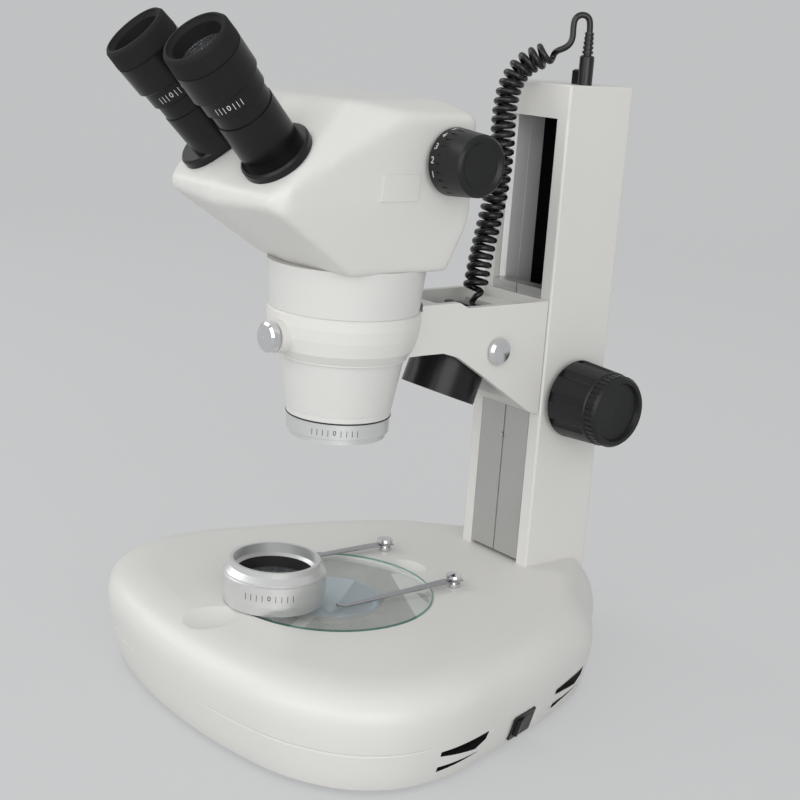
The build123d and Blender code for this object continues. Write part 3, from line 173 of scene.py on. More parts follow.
def finish_of(name, colour, roughness, metal=0.0, grain=900.0, depth=0.02, cloud=0.03, coat=0.0,
              shine=0.5):
    """Opaque material with a fine grain, cloudy gloss and a slight drift of its colour."""
    material = bpy.data.materials.new(name)
    material.use_nodes = True
    nodes = material.node_tree.nodes
    links = material.node_tree.links
    shader = nodes["Principled BSDF"]
    shader.inputs["Metallic"].default_value = metal
    shader.inputs["Coat Weight"].default_value = coat
    shader.inputs["Specular IOR Level"].default_value = shine
    spot = nodes.new("ShaderNodeTexCoord")
    fine = nodes.new("ShaderNodeTexNoise")
    fine.inputs["Scale"].default_value = grain
    fine.inputs["Detail"].default_value = 4
    wide = nodes.new("ShaderNodeTexNoise")
    wide.inputs["Scale"].default_value = 22
    wide.inputs["Detail"].default_value = 3
    links.new(spot.outputs["Object"], fine.inputs["Vector"])
    links.new(spot.outputs["Object"], wide.inputs["Vector"])
    gloss = nodes.new("ShaderNodeMapRange")
    gloss.inputs["To Min"].default_value = max(roughness - 0.08, 0.02)
    gloss.inputs["To Max"].default_value = min(roughness + 0.08, 1)
    links.new(wide.outputs["Fac"], gloss.inputs["Value"])
    links.new(gloss.outputs["Result"], shader.inputs["Roughness"])
    tint = nodes.new("ShaderNodeMix")
    tint.data_type = "RGBA"
    tint.inputs["A"].default_value = (*[c * (1 - cloud) for c in colour], 1)
    tint.inputs["B"].default_value = (*[min(c * (1 + cloud), 1) for c in colour], 1)
    links.new(wide.outputs["Fac"], tint.inputs["Factor"])
    links.new(tint.outputs["Result"], shader.inputs["Base Color"])
    bump = nodes.new("ShaderNodeBump")
    bump.inputs["Strength"].default_value = depth
    bump.inputs["Distance"].default_value = 0.0004
    links.new(fine.outputs["Fac"], bump.inputs["Height"])
    links.new(bump.outputs["Normal"], shader.inputs["Normal"])
    return material


def dress(material, *names):
    """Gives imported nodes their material."""
    for name in names:
        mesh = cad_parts[name].data
        mesh.materials.clear()
        mesh.materials.append(material)


cord_rubber = finish_of("cord_rubber", (0.006, 0.006, 0.0065), 0.27, grain=1500, depth=0.04, shine=0.5)
lamp_cord.data.materials.append(cord_rubber)
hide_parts("lamp_cord_coil", "lamp_cord_lead")
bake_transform(lamp_cord)
dress(cord_rubber, "cord_plug", "cap_jack")


# A pale seamless sweep stands under and behind the object, with soft light from the
# camera's side, from the left and from above.
SWEEP_SIZE = 7.0
SWEEP_CORNER = 1.6

bpy.ops.object.select_all(action="DESELECT")
bpy.ops.mesh.primitive_plane_add(size=SWEEP_SIZE, rotation=(0, 0, CAMERA_TURN))
sweep = bpy.context.object
sweep.name = "sweep"
bpy.ops.object.transform_apply(location=False, rotation=True, scale=False)
bpy.ops.object.mode_set(mode="EDIT")
bpy.ops.mesh.select_mode(type="EDGE")
bpy.ops.mesh.select_all(action="DESELECT")
bpy.ops.object.mode_set(mode="OBJECT")
back_edge = max(sweep.data.edges, key=lambda e: sum(
    (sweep.data.vertices[v].co.dot(Vector((-sin(CAMERA_TURN), cos(CAMERA_TURN), 0))) for v in e.vertices)))
back_edge.select = True
bpy.ops.object.mode_set(mode="EDIT")
bpy.ops.mesh.extrude_region_move(TRANSFORM_OT_translate={"value": (0, 0, SWEEP_SIZE / 2)})
bpy.ops.mesh.select_all(action="DESELECT")
bpy.ops.object.mode_set(mode="OBJECT")
for edge in sweep.data.edges:
    ends = [sweep.data.vertices[v].co for v in edge.vertices]
    edge.select = all(abs(end.z) < 1e-6 for end in ends) and all(
        end.dot(Vector((-sin(CAMERA_TURN), cos(CAMERA_TURN), 0))) > SWEEP_SIZE * 0.4 for end in ends)
bpy.ops.object.mode_set(mode="EDIT")
bpy.ops.mesh.bevel(offset=SWEEP_CORNER, segments=16, affect="EDGES")
bpy.ops.object.mode_set(mode="OBJECT")
bpy.ops.object.shade_smooth()


def backdrop_paper(name, colour):
    """Paper that takes shadows and shows its own pale colour to the camera."""
    material = bpy.data.materials.new(name)
    material.use_nodes = True
    nodes = material.node_tree.nodes
    links = material.node_tree.links
    shader = nodes["Principled BSDF"]
    shader.inputs["Roughness"].default_value = 0.95
    spot = nodes.new("ShaderNodeTexCoord")
    cloud = nodes.new("ShaderNodeTexNoise")
    cloud.inputs["Scale"].default_value = 0.6
    links.new(spot.outputs["Object"], cloud.inputs["Vector"])
    tint = nodes.new("ShaderNodeMix")
    tint.data_type = "RGBA"
    tint.inputs["A"].default_value = (*[c * 0.98 for c in colour], 1)
    tint.inputs["B"].default_value = (*colour, 1)
    links.new(cloud.outputs["Fac"], tint.inputs["Factor"])
    links.new(tint.outputs["Result"], shader.inputs["Base Color"])
    glow = nodes.new("ShaderNodeEmission")
    links.new(tint.outputs["Result"], glow.inputs["Color"])
    path = nodes.new("ShaderNodeLightPath")
    seen = nodes.new("ShaderNodeMath")
    seen.operation = "MAXIMUM"
    links.new(path.outputs["Is Camera Ray"], seen.inputs[0])
    links.new(path.outputs["Is Glossy Ray"], seen.inputs[1])
    seen_through = nodes.new("ShaderNodeMath")
    seen_through.operation = "MAXIMUM"
    links.new(seen.outputs["Value"], seen_through.inputs[0])
    links.new(path.outputs["Is Transmission Ray"], seen_through.inputs[1])
    part = nodes.new("ShaderNodeMath")
    part.operation = "MULTIPLY"
    part.inputs[1].default_value = BACKDROP_GLOW
    links.new(seen_through.outputs["Value"], part.inputs[0])
    both = nodes.new("ShaderNodeMixShader")
    links.new(part.outputs["Value"], both.inputs["Fac"])
    links.new(shader.outputs["BSDF"], both.inputs[1])
    links.new(glow.outputs["Emission"], both.inputs[2])
    links.new(both.outputs["Shader"], nodes["Material Output"].inputs["Surface"])
    return material


BACKDROP_GLOW = 0.7
sweep.data.materials.append(backdrop_paper("sweep_paper", (0.60, 0.605, 0.61)))

world = bpy.data.worlds.new("soft_room")
bpy.context.scene.world = world
world.use_nodes = True
world.node_tree.nodes["Background"].inputs["Color"].default_value = (0.90, 0.905, 0.91, 1)
world.node_tree.nodes["Background"].inputs["Strength"].default_value = 0.62


def soft_box(name, at, watts, size):
    """Square area lamp aimed at the middle of the object."""
    bpy.ops.object.light_add(type="AREA", location=at)
    lamp = bpy.context.object
    lamp.name = name
    lamp.data.energy = watts
    lamp.data.size = size
    aim = Vector((0, 0, 0.2)) - Vector(at)
    lamp.rotation_mode = "QUATERNION"
    lamp.rotation_quaternion = aim.to_track_quat("-Z", "Y")


soft_box("window_light", (0.3, -1.7, 0.9), 10.2, 1.4)
soft_box("right_light", (1.8, -0.9, 0.75), 18, 1.6)
soft_box("left_light", (-1.5, -0.9, 1.2), 9, 1.3)
soft_box("top_light", (0.1, 0.2, 1.8), 0.6, 1.4)
bpy.context.scene.view_settings.view_transform = "Standard"


# The base is one large hollow casting in satin white enamel with a softly rolled edge, a
# seat for the stage plate, thumb scoops, side vents and holes for the switch and the mains
# inlet. A black plate on four rubber feet closes it from below.
BASE_PLAN = ((0, -103), (46, -100), (95, -87), (118, -70), (131, -47), (134, -22.5), (126, 26),
             (109, 89), (92, 128), (68, 155), (28, 193), (0, 200))
BASE_MIDDLE = 48.5        # depth that the plan grows from
BASE_TAIL = 155.0         # depth from which the tail is drawn in fully
# Height of each level, how far it stands out of the plan, and how much less at the tail.
BASE_ROLL = ((3, 0, 0), (10, 2.6, 0.8), (18, 4.9, 1.6), (25.4, 6.8, 2.6), (33, 8.5, 4.2), (40, 9.6, 7),
             (46, 9.6, 10), (51, 7.8, 12), (55.2, 3.6, 11.5), (58, -2.4, 8.5), (59.7, -10, 5),
             (60.4, -17, 2))
BASE_TOP = 60.4
GROOVE_REACH = -27.0      # depth past which the groove has run out
PLATE_SEAT = ((63.6, 60.4), (62.9, 59.8), (62.9, 56), (32.2, 56), (32.2, 53.5), (30, 53.5), (30, 51.4))
BASE_INSIDE = ((51.4, -12), (51.4, -8), (6, -8), (6, -4), (3, -4))
VENT_MIDDLES = (-6.5, 101.5)
VENT_SHAPES = (((-19.5, 22.2), (19.5, 22.2), (18, 17.4), (9.5, 14), (-19.5, 19.3)),
               ((-19.5, 9), (-19.5, 12.2), (15.5, 11.1)))


def eased(rows, steps):
    """Rows of numbers with soft rows in between, passing through every given row."""
    result = []
    last = len(rows) - 1
    for number in range(last):
        near = [rows[min(max(number + k, 0), last)] for k in (-1, 0, 1, 2)]
        for step in range(steps):
            t = step / steps
            result.append(tuple(b + 0.5 * t * (c - a + t * (2 * a - 5 * b + 4 * c - d + t * (3 * (b - c) + d - a)))
                                for a, b, c, d in zip(*near)))
    result.append(rows[last])
    return result


def smooth_ring(corners, steps):
    """Closed curve through the corners, in so many steps from each to the next."""
    ring = []
    count = len(corners)
    for number in range(count):
        a, b, c, d = (corners[(number + k) % count] for k in (-1, 0, 1, 2))
        first, span, last = (b - a).length, (c - b).length, (d - c).length
        leave = ((b - a) / first * span + (c - b) / span * first) / (first + span) * span
        arrive = ((c - b) / span * last + (d - c) / last * span) / (span + last) * span
        for step in range(steps):
            t = step / steps
            ring.append(b * (1 + t * t * (2 * t - 3)) + c * (t * t * (3 - 2 * t))
                        + leave * (t * (1 - t) ** 2) + arrive * (t * t * (t - 1)))
    return ring


def closed_skin(name, rings):
    """Mesh of quads between rings of as many points each, the last ring joined to the first."""
    count = len(rings[0])
    faces = []
    for number in range(len(rings)):
        here, there = number * count, (number + 1) % len(rings) * count
        faces += [(here + k, here + (k + 1) % count, there + (k + 1) % count, there + k) for k in range(count)]
    mesh = bpy.data.meshes.new(name)
    mesh.from_pydata([point for ring in rings for point in ring], [], faces)
    piece = bpy.data.objects.new(name, mesh)
    bpy.context.scene.collection.objects.link(piece)
    return piece


def only(piece):
    """Makes one object the selected and active one."""
    bpy.ops.object.select_all(action="DESELECT")
    piece.select_set(True)
    bpy.context.view_layer.objects.active = piece


def outward(piece):
    """Merges doubled points and turns all faces of a closed mesh outward."""
    only(piece)
    bpy.ops.object.mode_set(mode="EDIT")
    bpy.ops.mesh.select_all(action="SELECT")
    bpy.ops.mesh.remove_doubles(threshold=0.00001)
    bpy.ops.mesh.normals_make_consistent(inside=False)
    bpy.ops.object.mode_set(mode="OBJECT")


def cut(piece, cutter):
    """Takes one closed mesh out of another."""
    only(piece)
    modifier = piece.modifiers.new("cut", "BOOLEAN")
    modifier.operation = "DIFFERENCE"
    modifier.solver = "EXACT"
    modifier.object = cutter
    bpy.ops.object.modifier_apply(modifier=modifier.name)
    bpy.data.objects.remove(cutter)


def base_ring(height, flare, pinch=0.0, groove=0.0):
    """Points round the base at a height, moved outward by a flare."""
    ring = []
    for point in base_plan:
        x, depth = point
        drawn_in = pinch * min(max(depth / BASE_TAIL, 0), 1)
        cut_in = groove * min(max((GROOVE_REACH - depth) / 12, 0), 1) * min(max((abs(x) - 25) / 30, 0), 1)
        share = 1 + (flare - drawn_in - cut_in) / hypot(x, depth - BASE_MIDDLE)
        ring.append(place(x * share, BASE_MIDDLE + (depth - BASE_MIDDLE) * share, height))
    return ring


half_plan = [Vector(point) for point in BASE_PLAN]
base_plan = smooth_ring(half_plan + [Vector((-x, y)) for x, y in reversed(BASE_PLAN[1:-1])], 8)
base_rings = []
for height, flare, pinch in eased(BASE_ROLL, 4):
    base_rings.append(base_ring(height, flare, pinch))
    if abs(height - BASE_ROLL[3][0]) < 0.01:
        for step, depth in ((0.1, 0), (0.4, 0.5), (1.35, 0.5), (1.65, 0)):
            base_rings.append(base_ring(height + step, flare + 0.25 * step, pinch + 0.2 * step, depth))
base_rings.append(base_ring(BASE_TOP, -24))
seat_from = len(base_rings)
for radius, height in PLATE_SEAT:
    base_rings.append([place(*(point.normalized() * radius), height) for point in base_plan])
inside_from = len(base_rings)
base_rings += [base_ring(height, flare) for height, flare in BASE_INSIDE]
base_shell = closed_skin("base_shell", base_rings)
# Faces inside the hollow base get the second material, a near-black painted shade standing for the shade inside the
# casting.
for number, polygon in enumerate(base_shell.data.polygons):
    polygon.material_index = 1 if number // len(base_plan) >= inside_from - 1 else 0
white_enamel = finish_of("white_enamel", (0.69, 0.683, 0.655), 0.42, grain=700, depth=0.03, cloud=0.012, coat=0.1)
shell_inside_painted_shade = finish_of("shell_inside_painted_shade", (0.010, 0.010, 0.011), 0.7)
base_shell.data.materials.append(white_enamel)
base_shell.data.materials.append(shell_inside_painted_shade)
outward(base_shell)

# Long scoop in front of the plate and a shallow one behind it.
for spot, reach in (((0, -88, 77), (26, 43, 20)), ((-7, 66, 81), (27, 22, 24))):
    bpy.ops.object.select_all(action="DESELECT")
    bpy.ops.mesh.primitive_uv_sphere_add(segments=64, ring_count=48, radius=MM, location=place(*spot), scale=reach)
    scoop = bpy.context.object
    bpy.ops.object.transform_apply(location=True, rotation=False, scale=True)
    scoop.data.materials.append(white_enamel)
    cut(base_shell, scoop)

for middle in VENT_MIDDLES:
    for shape in VENT_SHAPES:
        for near, far in ((100, 160), (-160, -100)):
            rings = [[place(x, middle + along, height) for along, height in shape] for x in (near, far)]
            count = len(shape)
            mesh = bpy.data.meshes.new("vent_cutter")
            sides = [(k, (k + 1) % count, count + (k + 1) % count, count + k) for k in range(count)]
            mesh.from_pydata(rings[0] + rings[1], [], sides + [tuple(range(count)), tuple(range(count, 2 * count))])
            cutter = bpy.data.objects.new("vent_cutter", mesh)
            bpy.context.scene.collection.objects.link(cutter)
            outward(cutter)
            # The vents' cut walls take the same near-black: painted shade inside the openings.
            for polygon in mesh.polygons:
                polygon.material_index = 1
            cut(base_shell, cutter)

bpy.ops.object.select_all(action="DESELECT")
bpy.ops.mesh.primitive_cube_add(size=1, location=place(0, 212, 18), scale=(32.6 * MM, 24 * MM, 21.6 * MM))
inlet_flat = bpy.context.object
bpy.ops.object.transform_apply()
inlet_flat.data.materials.append(white_enamel)
cut(base_shell, inlet_flat)
for name in ("switch_bezel", "power_inlet"):
    hull = bpy.data.objects.new(f"{name}_hole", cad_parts[name].data.copy())
    bpy.context.scene.collection.objects.link(hull)
    only(hull)
    bpy.ops.object.mode_set(mode="EDIT")
    bpy.ops.mesh.select_all(action="SELECT")
    bpy.ops.mesh.convex_hull()
    bpy.ops.object.mode_set(mode="OBJECT")
    outward(hull)
    cut(base_shell, hull)
only(base_shell)
bpy.ops.object.shade_smooth_by_angle(angle=radians(38))
base_shell.modifiers.new("even_shade", "WEIGHTED_NORMAL").keep_sharp = True
bpy.ops.object.modifier_apply(modifier="even_shade")
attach(base_shell, "stand")
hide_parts("base_housing")
black_sheet = finish_of("black_sheet", (0.02, 0.02, 0.022), 0.55)
dress(black_sheet, "base_floor")
foot_rubber = finish_of("foot_rubber", (0.011, 0.011, 0.011), 0.75, grain=1200, depth=0.1, shine=0.25)
dress(foot_rubber, "rubber_feet")
frosted_white = finish_of("frosted_white", (0.50, 0.57, 0.62), 0.6, grain=2500, depth=0.05)
dress(frosted_white, "frosted_window")
board_lacquer = finish_of("board_lacquer", (0.02, 0.10, 0.04), 0.35)
dress(board_lacquer, "driver_board", "lower_lamp")


# The mains inlet and the rocker switch are black moulded plastic, pressed into the
# base's rear and right walls.
black_moulding = finish_of("black_moulding", (0.009, 0.0095, 0.010), 0.38, grain=1100, depth=0.05, shine=0.35)
dress(black_moulding, "power_inlet", "switch_bezel", "power_rocker")


# The stage plate is 5 mm glass with ground edges. Seen through its rim it is green.
def thin_glass(name, through, edge, edge_from=10.0, edge_to=11.0, edge_low=0.0, body=0.0,
               mirror=0.0):
    """Glass that is looked through, with a shine that grows at a slant. Past a distance from
    its axis, in metres, it takes the deep colour of its rim."""
    material = bpy.data.materials.new(name)
    material.use_nodes = True
    nodes = material.node_tree.nodes
    links = material.node_tree.links
    nodes.remove(nodes["Principled BSDF"])
    spot = nodes.new("ShaderNodeTexCoord")
    smear = nodes.new("ShaderNodeTexNoise")
    smear.inputs["Scale"].default_value = 30
    links.new(spot.outputs["Object"], smear.inputs["Vector"])
    reach = nodes.new("ShaderNodeVectorMath")
    reach.operation = "DISTANCE"
    flat = nodes.new("ShaderNodeVectorMath")
    flat.operation = "MULTIPLY"
    flat.inputs[1].default_value = (1, 1, 0)
    links.new(spot.outputs["Object"], flat.inputs[0])
    links.new(flat.outputs["Vector"], reach.inputs[0])
    reach.inputs[1].default_value = (0, PLATE_MIDDLE * MM, 0)
    rim = nodes.new("ShaderNodeMapRange")
    rim.inputs["From Min"].default_value = edge_from
    rim.inputs["From Max"].default_value = edge_to
    links.new(reach.outputs["Value"], rim.inputs["Value"])
    split = nodes.new("ShaderNodeSeparateXYZ")
    links.new(spot.outputs["Object"], split.inputs["Vector"])
    upper = nodes.new("ShaderNodeMath")
    upper.operation = "GREATER_THAN"
    upper.inputs[1].default_value = edge_low
    links.new(split.outputs["Z"], upper.inputs[0])
    deep = nodes.new("ShaderNodeMath")
    deep.operation = "MULTIPLY"
    links.new(rim.outputs["Result"], deep.inputs[0])
    links.new(upper.outputs["Value"], deep.inputs[1])
    tint = nodes.new("ShaderNodeMix")
    tint.data_type = "RGBA"
    tint.inputs["A"].default_value = (*through, 1)
    tint.inputs["B"].default_value = (*edge, 1)
    links.new(deep.outputs["Value"], tint.inputs["Factor"])
    clear = nodes.new("ShaderNodeBsdfTransparent")
    links.new(tint.outputs["Result"], clear.inputs["Color"])
    haze = nodes.new("ShaderNodeBsdfDiffuse")
    links.new(tint.outputs["Result"], haze.inputs["Color"])
    hazy = nodes.new("ShaderNodeMixShader")
    hazy.inputs["Fac"].default_value = body
    links.new(clear.outputs["BSDF"], hazy.inputs[1])
    links.new(haze.outputs["BSDF"], hazy.inputs[2])
    gloss = nodes.new("ShaderNodeMapRange")
    gloss.inputs["To Min"].default_value = 0.02
    gloss.inputs["To Max"].default_value = 0.05
    links.new(smear.outputs["Fac"], gloss.inputs["Value"])
    shine = nodes.new("ShaderNodeBsdfGlossy")
    links.new(gloss.outputs["Result"], shine.inputs["Roughness"])
    slant = nodes.new("ShaderNodeFresnel")
    slant.inputs["IOR"].default_value = 1.32
    face = nodes.new("ShaderNodeNewGeometry")
    front = nodes.new("ShaderNodeMath")
    front.operation = "SUBTRACT"
    front.inputs[0].default_value = 1
    links.new(face.outputs["Backfacing"], front.inputs[1])
    outer = nodes.new("ShaderNodeMath")
    outer.operation = "MULTIPLY"
    links.new(slant.outputs["Fac"], outer.inputs[0])
    links.new(front.outputs["Value"], outer.inputs[1])
    coated = nodes.new("ShaderNodeMath")
    coated.operation = "MULTIPLY_ADD"
    coated.inputs[1].default_value = 1 - mirror
    coated.inputs[2].default_value = mirror
    links.new(outer.outputs["Value"], coated.inputs[0])
    both = nodes.new("ShaderNodeMixShader")
    links.new(coated.outputs["Value"], both.inputs["Fac"])
    links.new(hazy.outputs["Shader"], both.inputs[1])
    links.new(shine.outputs["BSDF"], both.inputs[2])
    links.new(both.outputs["Shader"], nodes["Material Output"].inputs["Surface"])
    return material


plate_glass = thin_glass("plate_glass", (0.985, 0.995, 0.99), (0.30, 0.56, 0.49), 0.0617, 0.0622, 0.0596, body=0.05)
dress(plate_glass, "glass_plate")


# Two spring steel clips turn on chromed thumb posts behind the plate.
chrome = finish_of("chrome", (0.72, 0.72, 0.73), 0.12, metal=1, grain=300, depth=0.0)
dress(chrome, "clip_post_left", "clip_post_right")
spring_steel = finish_of("spring_steel", (0.45, 0.45, 0.46), 0.28, metal=1, grain=1500, depth=0.04)
dress(spring_steel, "clip_leaf_left", "clip_leaf_right")


# The loose add-on lens is a turned aluminium ring with its glass, standing on the plate.
# It is black inside against stray light, and has plain graduation lines round its side.
AUX_AT = (-4.5, -38.2)
satin_aluminium = finish_of("satin_aluminium", (0.70, 0.705, 0.70), 0.34, metal=0.75, grain=1500, depth=0.05)
dress(satin_aluminium, "aux_lens_ring")
lens_glass = thin_glass("lens_glass", (0.70, 0.72, 0.74), (0.70, 0.72, 0.74), body=0.1, mirror=0.35)
dress(lens_glass, "aux_lens_glass")


def marks_on(name, words, size, centre, axis, front, radius, angle, along, across=False):
    """Numbers or lines laid on a cylinder, as thick as a coat of paint. They are read round
    it, or along its axis where across is set."""
    bpy.ops.object.select_all(action="DESELECT")
    bpy.ops.object.text_add()
    bpy.context.object.data.body = words
    bpy.context.object.data.size = size * MM
    bpy.context.object.data.align_x = "CENTER"
    bpy.context.object.data.align_y = "CENTER"
    bpy.ops.object.convert(target="MESH")
    label = bpy.context.object
    label.name = name
    side = axis.cross(front) * (-1 if across else 1)
    for vertex in label.data.vertices:
        run, rise = (vertex.co.y, vertex.co.x) if across else (vertex.co.x, vertex.co.y)
        turn = angle + run / (radius * MM)
        vertex.co = centre + axis * (along * MM + rise) + (front * cos(turn) + side * sin(turn)) * radius * MM
    paint = label.modifiers.new("paint", "SOLIDIFY")
    paint.thickness = 0.12 * MM
    paint.offset = 0
    only(label)
    bpy.ops.object.modifier_apply(modifier=paint.name)
    outward(label)
    return label


ink_black = finish_of("ink_black", (0.012, 0.012, 0.012), 0.55)
ink_white = finish_of("ink_white", (0.62, 0.62, 0.60), 0.55)
UP = Vector((0, 0, 1))
AHEAD = Vector((sin(CAMERA_TURN), -cos(CAMERA_TURN), 0))


def inked(label, ink, body):
    """Gives marks their ink, body and slot."""
    label.data.materials.append(ink)
    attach(label, body)


bpy.ops.object.select_all(action="DESELECT")
bpy.ops.mesh.primitive_cylinder_add(vertices=96, radius=22.5 * MM, depth=6.8 * MM, end_fill_type="NOTHING",
                                    location=place(*AUX_AT, 75.6))
baffle = bpy.context.object
baffle.name = "aux_lens_baffle"
bpy.ops.object.transform_apply()
wall = baffle.modifiers.new("wall", "SOLIDIFY")
wall.thickness = 0.4 * MM
bpy.ops.object.modifier_apply(modifier=wall.name)
baffle.data.materials.append(ink_black)
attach(baffle, "aux_lens")
inked(marks_on("aux_lens_scale", "|  |  |  |  0  |  |  |  |", 4.2, place(*AUX_AT, 61), UP, AHEAD, 30.62, 0.0, 11.5),
      ink_black, "aux_lens")


# The pillar is an extruded housing in the base's enamel with a cap over it. Guide rails
# and the slider in its slot are brushed aluminium.
def painted_shade_inside(name, left, right, front, rear):
    """White enamel with painted shade: black inside a hollow, between two sides and two depths."""
    material = white_enamel.copy()
    material.name = name
    nodes = material.node_tree.nodes
    links = material.node_tree.links
    spot = nodes.new("ShaderNodeTexCoord")
    split = nodes.new("ShaderNodeSeparateXYZ")
    links.new(spot.outputs["Object"], split.inputs["Vector"])
    limits = []
    for source, kind, value in ((split.outputs["X"], "GREATER_THAN", left * MM),
                                (split.outputs["X"], "LESS_THAN", right * MM),
                                (split.outputs["Y"], "GREATER_THAN", (front + PLATE_MIDDLE) * MM),
                                (split.outputs["Y"], "LESS_THAN", (rear + PLATE_MIDDLE) * MM)):
        limit = nodes.new("ShaderNodeMath")
        limit.operation = kind
        limit.inputs[1].default_value = value
        links.new(source, limit.inputs[0])
        limits.append(limit.outputs["Value"])
    inside = limits[0]
    for other in limits[1:]:
        product = nodes.new("ShaderNodeMath")
        product.operation = "MULTIPLY"
        links.new(inside, product.inputs[0])
        links.new(other, product.inputs[1])
        inside = product.outputs["Value"]
    shader = nodes["Principled BSDF"]
    bright = shader.inputs["Base Color"].links[0].from_socket
    # Inside the bounds the enamel turns near-black: painted shade.
    tint = nodes.new("ShaderNodeMix")
    tint.data_type = "RGBA"
    tint.inputs["B"].default_value = (0.006, 0.006, 0.008, 1)
    links.new(bright, tint.inputs["A"])
    links.new(inside, tint.inputs["Factor"])
    links.new(tint.outputs["Result"], shader.inputs["Base Color"])
    return material


def soft_edges(width, *names):
    """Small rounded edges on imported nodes, by modifiers alone."""
    for name in names:
        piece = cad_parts[name]
        weld = piece.modifiers.new("weld", "WELD")
        weld.merge_threshold = 0.00002
        round_over = piece.modifiers.new("round_over", "BEVEL")
        round_over.width = width * MM
        round_over.segments = 3
        round_over.limit_method = "ANGLE"
        round_over.angle_limit = radians(50)
        round_over.harden_normals = False


# The pillar's enamel carries painted shade: black on the back wall and the deep side walls of its slot.
dress(painted_shade_inside("pillar_enamel_painted_shade", -29, 29, 165, 186.8), "column_housing")
dress(white_enamel, "column_cap")
soft_edges(0.7, "column_housing", "column_cap")
rail_metal = finish_of("rail_metal", (0.80, 0.81, 0.80), 0.42, metal=0.35, grain=1800, depth=0.05)
dress(rail_metal, "guide_rails")
for side, word in ((-1, "left"), (1, "right")):
    bpy.ops.object.select_all(action="DESELECT")
    bpy.ops.mesh.primitive_cube_add(size=MM, location=place(side * 25.3, 161.6, 273), scale=(5.5, 12.4, 144))
    cheek = bpy.context.object
    cheek.name = f"rail_cheek_{word}"
    bpy.ops.object.transform_apply()
    worn = cheek.modifiers.new("worn_edges", "BEVEL")
    worn.width = 0.4 * MM
    worn.segments = 2
    bpy.ops.object.modifier_apply(modifier="worn_edges")
    cheek.data.materials.append(rail_metal)
    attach(cheek, "stand")
slider_metal = finish_of("slider_metal", (0.50, 0.50, 0.49), 0.36, metal=0.8, grain=1800, depth=0.06)
dress(slider_metal, "slider_bar")


# Focusing gear: brass bushes in the pillar's walls carry the steel shaft, with its
# pinion on the rack and a fluted black knob on each end.
bearing_brass = finish_of("bearing_brass", (0.55, 0.38, 0.14), 0.3, metal=1)
dress(bearing_brass, "focus_bushes", "focus_pinion")
bright_steel = finish_of("bright_steel", (0.55, 0.55, 0.56), 0.25, metal=1)
dress(bright_steel, "focus_shaft", "focus_rack")
dress(black_moulding, "focus_knob_left", "focus_knob_right")


# The arm is cast and enamelled, screwed to the slider, with a chrome screw that clamps
# the head in its ring.
dress(white_enamel, "arm_casting")
dress(bright_steel, "carriage_screws", "lamp_pivot_pin")
dress(chrome, "head_clamp_screw", "lamp_lock_screw")


# The upper lamp hangs on a pin between the arm's cheeks: a black turned shell with its
# lens, heat sink and cord gland.
black_lacquer = finish_of("black_lacquer", (0.006, 0.006, 0.007), 0.28, grain=1300, depth=0.04, shine=0.35)
dress(black_lacquer, "lamp_housing")
dress(lens_glass, "lamp_lens")
dress(satin_aluminium, "lamp_source")
dress(cord_rubber, "lamp_cord_gland")


# The head is a white enamelled casting with large soft flats: two for the eyetubes, a chin
# below them, and shoulders that fall off to the side walls. It is cut from one block.
HEAD_LOW = (-60, -120, 260.8)
HEAD_HIGH = (60, 43.5, 357)
# Each flat of the right half: a point on it, as x, depth and height, and its outward normal.
HEAD_FLATS = (((0, -76, 326.4), (0.089, -0.693, 0.715)), ((0, -97, 303), (0.11, -0.985, -0.13)), ((0, -94.5, 296), (0.10, -0.545, -0.832)),
              ((53.84, 0, 300), (0.976, 0, -0.217)), ((54.5, 0, 307), (0.996, 0, -0.0933)),
              ((0, -46, 355), (0, -0.01, 1)), ((57.6, -17.4, 346), (0.80, -0.30, 0.49)),
              ((58, 20, 349), (0.30, 0.02, 0.954)), ((56, -81.5, 307), (0.78, -0.62, -0.05)),
              ((50, 43.5, 300), (0.707, 0.707, 0)), ((0, 36, 262), (0, 0.96, -0.277)),
              ((0, 43.5, 345), (0, 0.6, 0.8)))

bpy.ops.object.select_all(action="DESELECT")
head_middle = [(low + high) / 2 for low, high in zip(HEAD_LOW, HEAD_HIGH)]
head_size = [(high - low) * MM for low, high in zip(HEAD_LOW, HEAD_HIGH)]
bpy.ops.mesh.primitive_cube_add(size=1, location=place(*head_middle), scale=head_size)
head_cover = bpy.context.object
head_cover.name = "head_cover"
bpy.ops.object.transform_apply(location=True, rotation=False, scale=True)
bpy.ops.object.mode_set(mode="EDIT")
for spot, normal in HEAD_FLATS:
    for side in (1, -1):
        bpy.ops.mesh.select_all(action="SELECT")
        bpy.ops.mesh.bisect(plane_co=place(side * spot[0], spot[1], spot[2]), plane_no=(side * normal[0], *normal[1:]),
                            use_fill=True, clear_outer=True)
bpy.ops.object.mode_set(mode="OBJECT")
grown = head_cover.modifiers.new("even_mesh", "REMESH")
grown.mode = "VOXEL"
grown.voxel_size = 1.6 * MM
grown.use_smooth_shade = True
soft = head_cover.modifiers.new("soft_edges", "SMOOTH")
soft.factor = 0.5
soft.iterations = 42
only(head_cover)
for modifier in (grown, soft):
    bpy.ops.object.modifier_apply(modifier=modifier.name)
head_cover.data.materials.clear()
head_cover.data.materials.append(white_enamel)
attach(head_cover, "head")
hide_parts("head_shell")

# Plain raised panel on each side wall.
for side, word in ((1, "right"), (-1, "left")):
    bpy.ops.object.select_all(action="DESELECT")
    bpy.ops.mesh.primitive_cube_add(size=1, location=place(side * 55.1, -11.5, 310), rotation=(0, side * radians(5.35), 0),
                                    scale=(0.9 * MM, 25 * MM, 14.5 * MM))
    panel = bpy.context.object
    panel.name = f"head_panel_{word}"
    bpy.ops.object.transform_apply()
    soft = panel.modifiers.new("soft_edges", "BEVEL")
    soft.width = 0.22 * MM
    soft.segments = 3
    bpy.ops.object.modifier_apply(modifier=soft.name)
    panel.data.materials.append(white_enamel)
    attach(panel, "head")

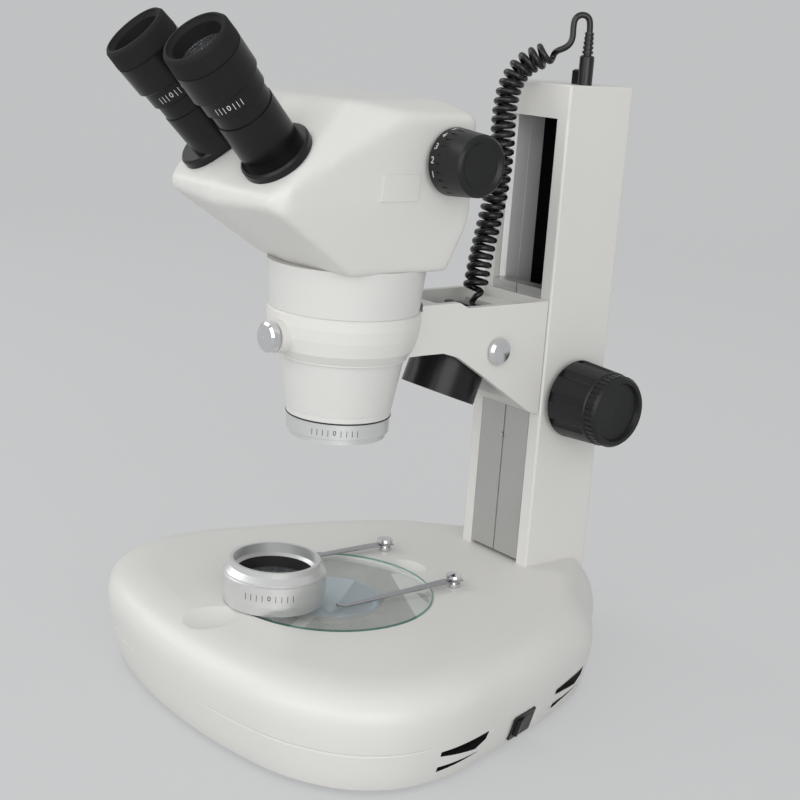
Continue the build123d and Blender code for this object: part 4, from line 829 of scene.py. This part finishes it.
# Below the shell are a slightly greyer barrel, the inner optics frame and an aluminium
# lens ring, screwed on.
barrel_enamel = finish_of("barrel_enamel", (0.655, 0.65, 0.63), 0.42, grain=900, depth=0.04, cloud=0.012)
dress(barrel_enamel, "head_barrel", "lens_collar")
dress(satin_aluminium, "objective_ring")
dress(lens_glass, "objective_glass")
lens_axis = place(0, -2, 0)
inked(marks_on("objective_scale", "|  |  |  |  0  |  |  |  |", 4.0, lens_axis, UP, AHEAD, 30.22, 0.0, 167.2),
      ink_black, "head")
bpy.ops.object.select_all(action="DESELECT")
bpy.ops.mesh.primitive_torus_add(major_radius=30.35 * MM, minor_radius=0.55 * MM, major_segments=96, minor_segments=12,
                                 location=place(0, -2, 172.6))
seal = bpy.context.object
seal.name = "objective_seal"
bpy.ops.object.transform_apply()
bpy.ops.object.shade_smooth()
seal.data.materials.append(ink_black)
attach(seal, "head")
dress(satin_aluminium, "optics_frame")
dress(bearing_brass, "zoom_bushes")


# Zoom knobs: ribbed black mouldings on both ends of one shaft through the head.
dress(bright_steel, "zoom_shaft")
dress(black_moulding, "zoom_knob_left", "zoom_knob_right")
knob_axis = place(0, 21, 324.3)
FORWARD = Vector((0, -1, 0))
SIDEWAYS = Vector((1, 0, 0))
for side, word in ((1, "right"), (-1, "left")):
    for number, words in enumerate(("1", "2", "3", "4", "5")):
        label = marks_on(f"zoom_number_{word}_{words}", words, 5.2, knob_axis, SIDEWAYS, FORWARD, 18.45,
                         radians(-20 + 24 * number), side * 62.6, across=True)
        inked(label, ink_white, "zoom")


# Eyetubes, eyepieces and focusing rings are turned and black anodised, with rubber cups
# round the eye lenses.
black_anodised = finish_of("black_anodised", (0.006, 0.006, 0.0065), 0.3, grain=1500, depth=0.03, shine=0.32)
for side in ("left", "right"):
    dress(black_anodised, f"eyetube_{side}", f"eyepiece_barrel_{side}", f"diopter_ring_{side}")
    dress(foot_rubber, f"eyecup_{side}")
    dress(lens_glass, f"eye_lens_{side}")

# The focusing rings carry plain graduation lines about a zero, in white paint.
for side, word in ((1, "right"), (-1, "left")):
    lift, splay = radians(45.9), radians(5.1) * side
    straight = Vector((0, -cos(lift), sin(lift)))
    eye_axis = straight * cos(splay) + Vector((sin(splay), 0, 0))
    slope = Vector((0, sin(lift), cos(lift)))
    foot = place(side * 23.2, -75.6, 326) + slope * 2.3 * MM
    facing = (AHEAD - eye_axis * AHEAD.dot(eye_axis)).normalized()
    label = marks_on(f"eyepiece_scale_{word}", "| | | 0 | | |", 4.2, foot, eye_axis, facing, 17.22, -0.2, 42)
    inked(label, ink_white, f"diopter_{word}")
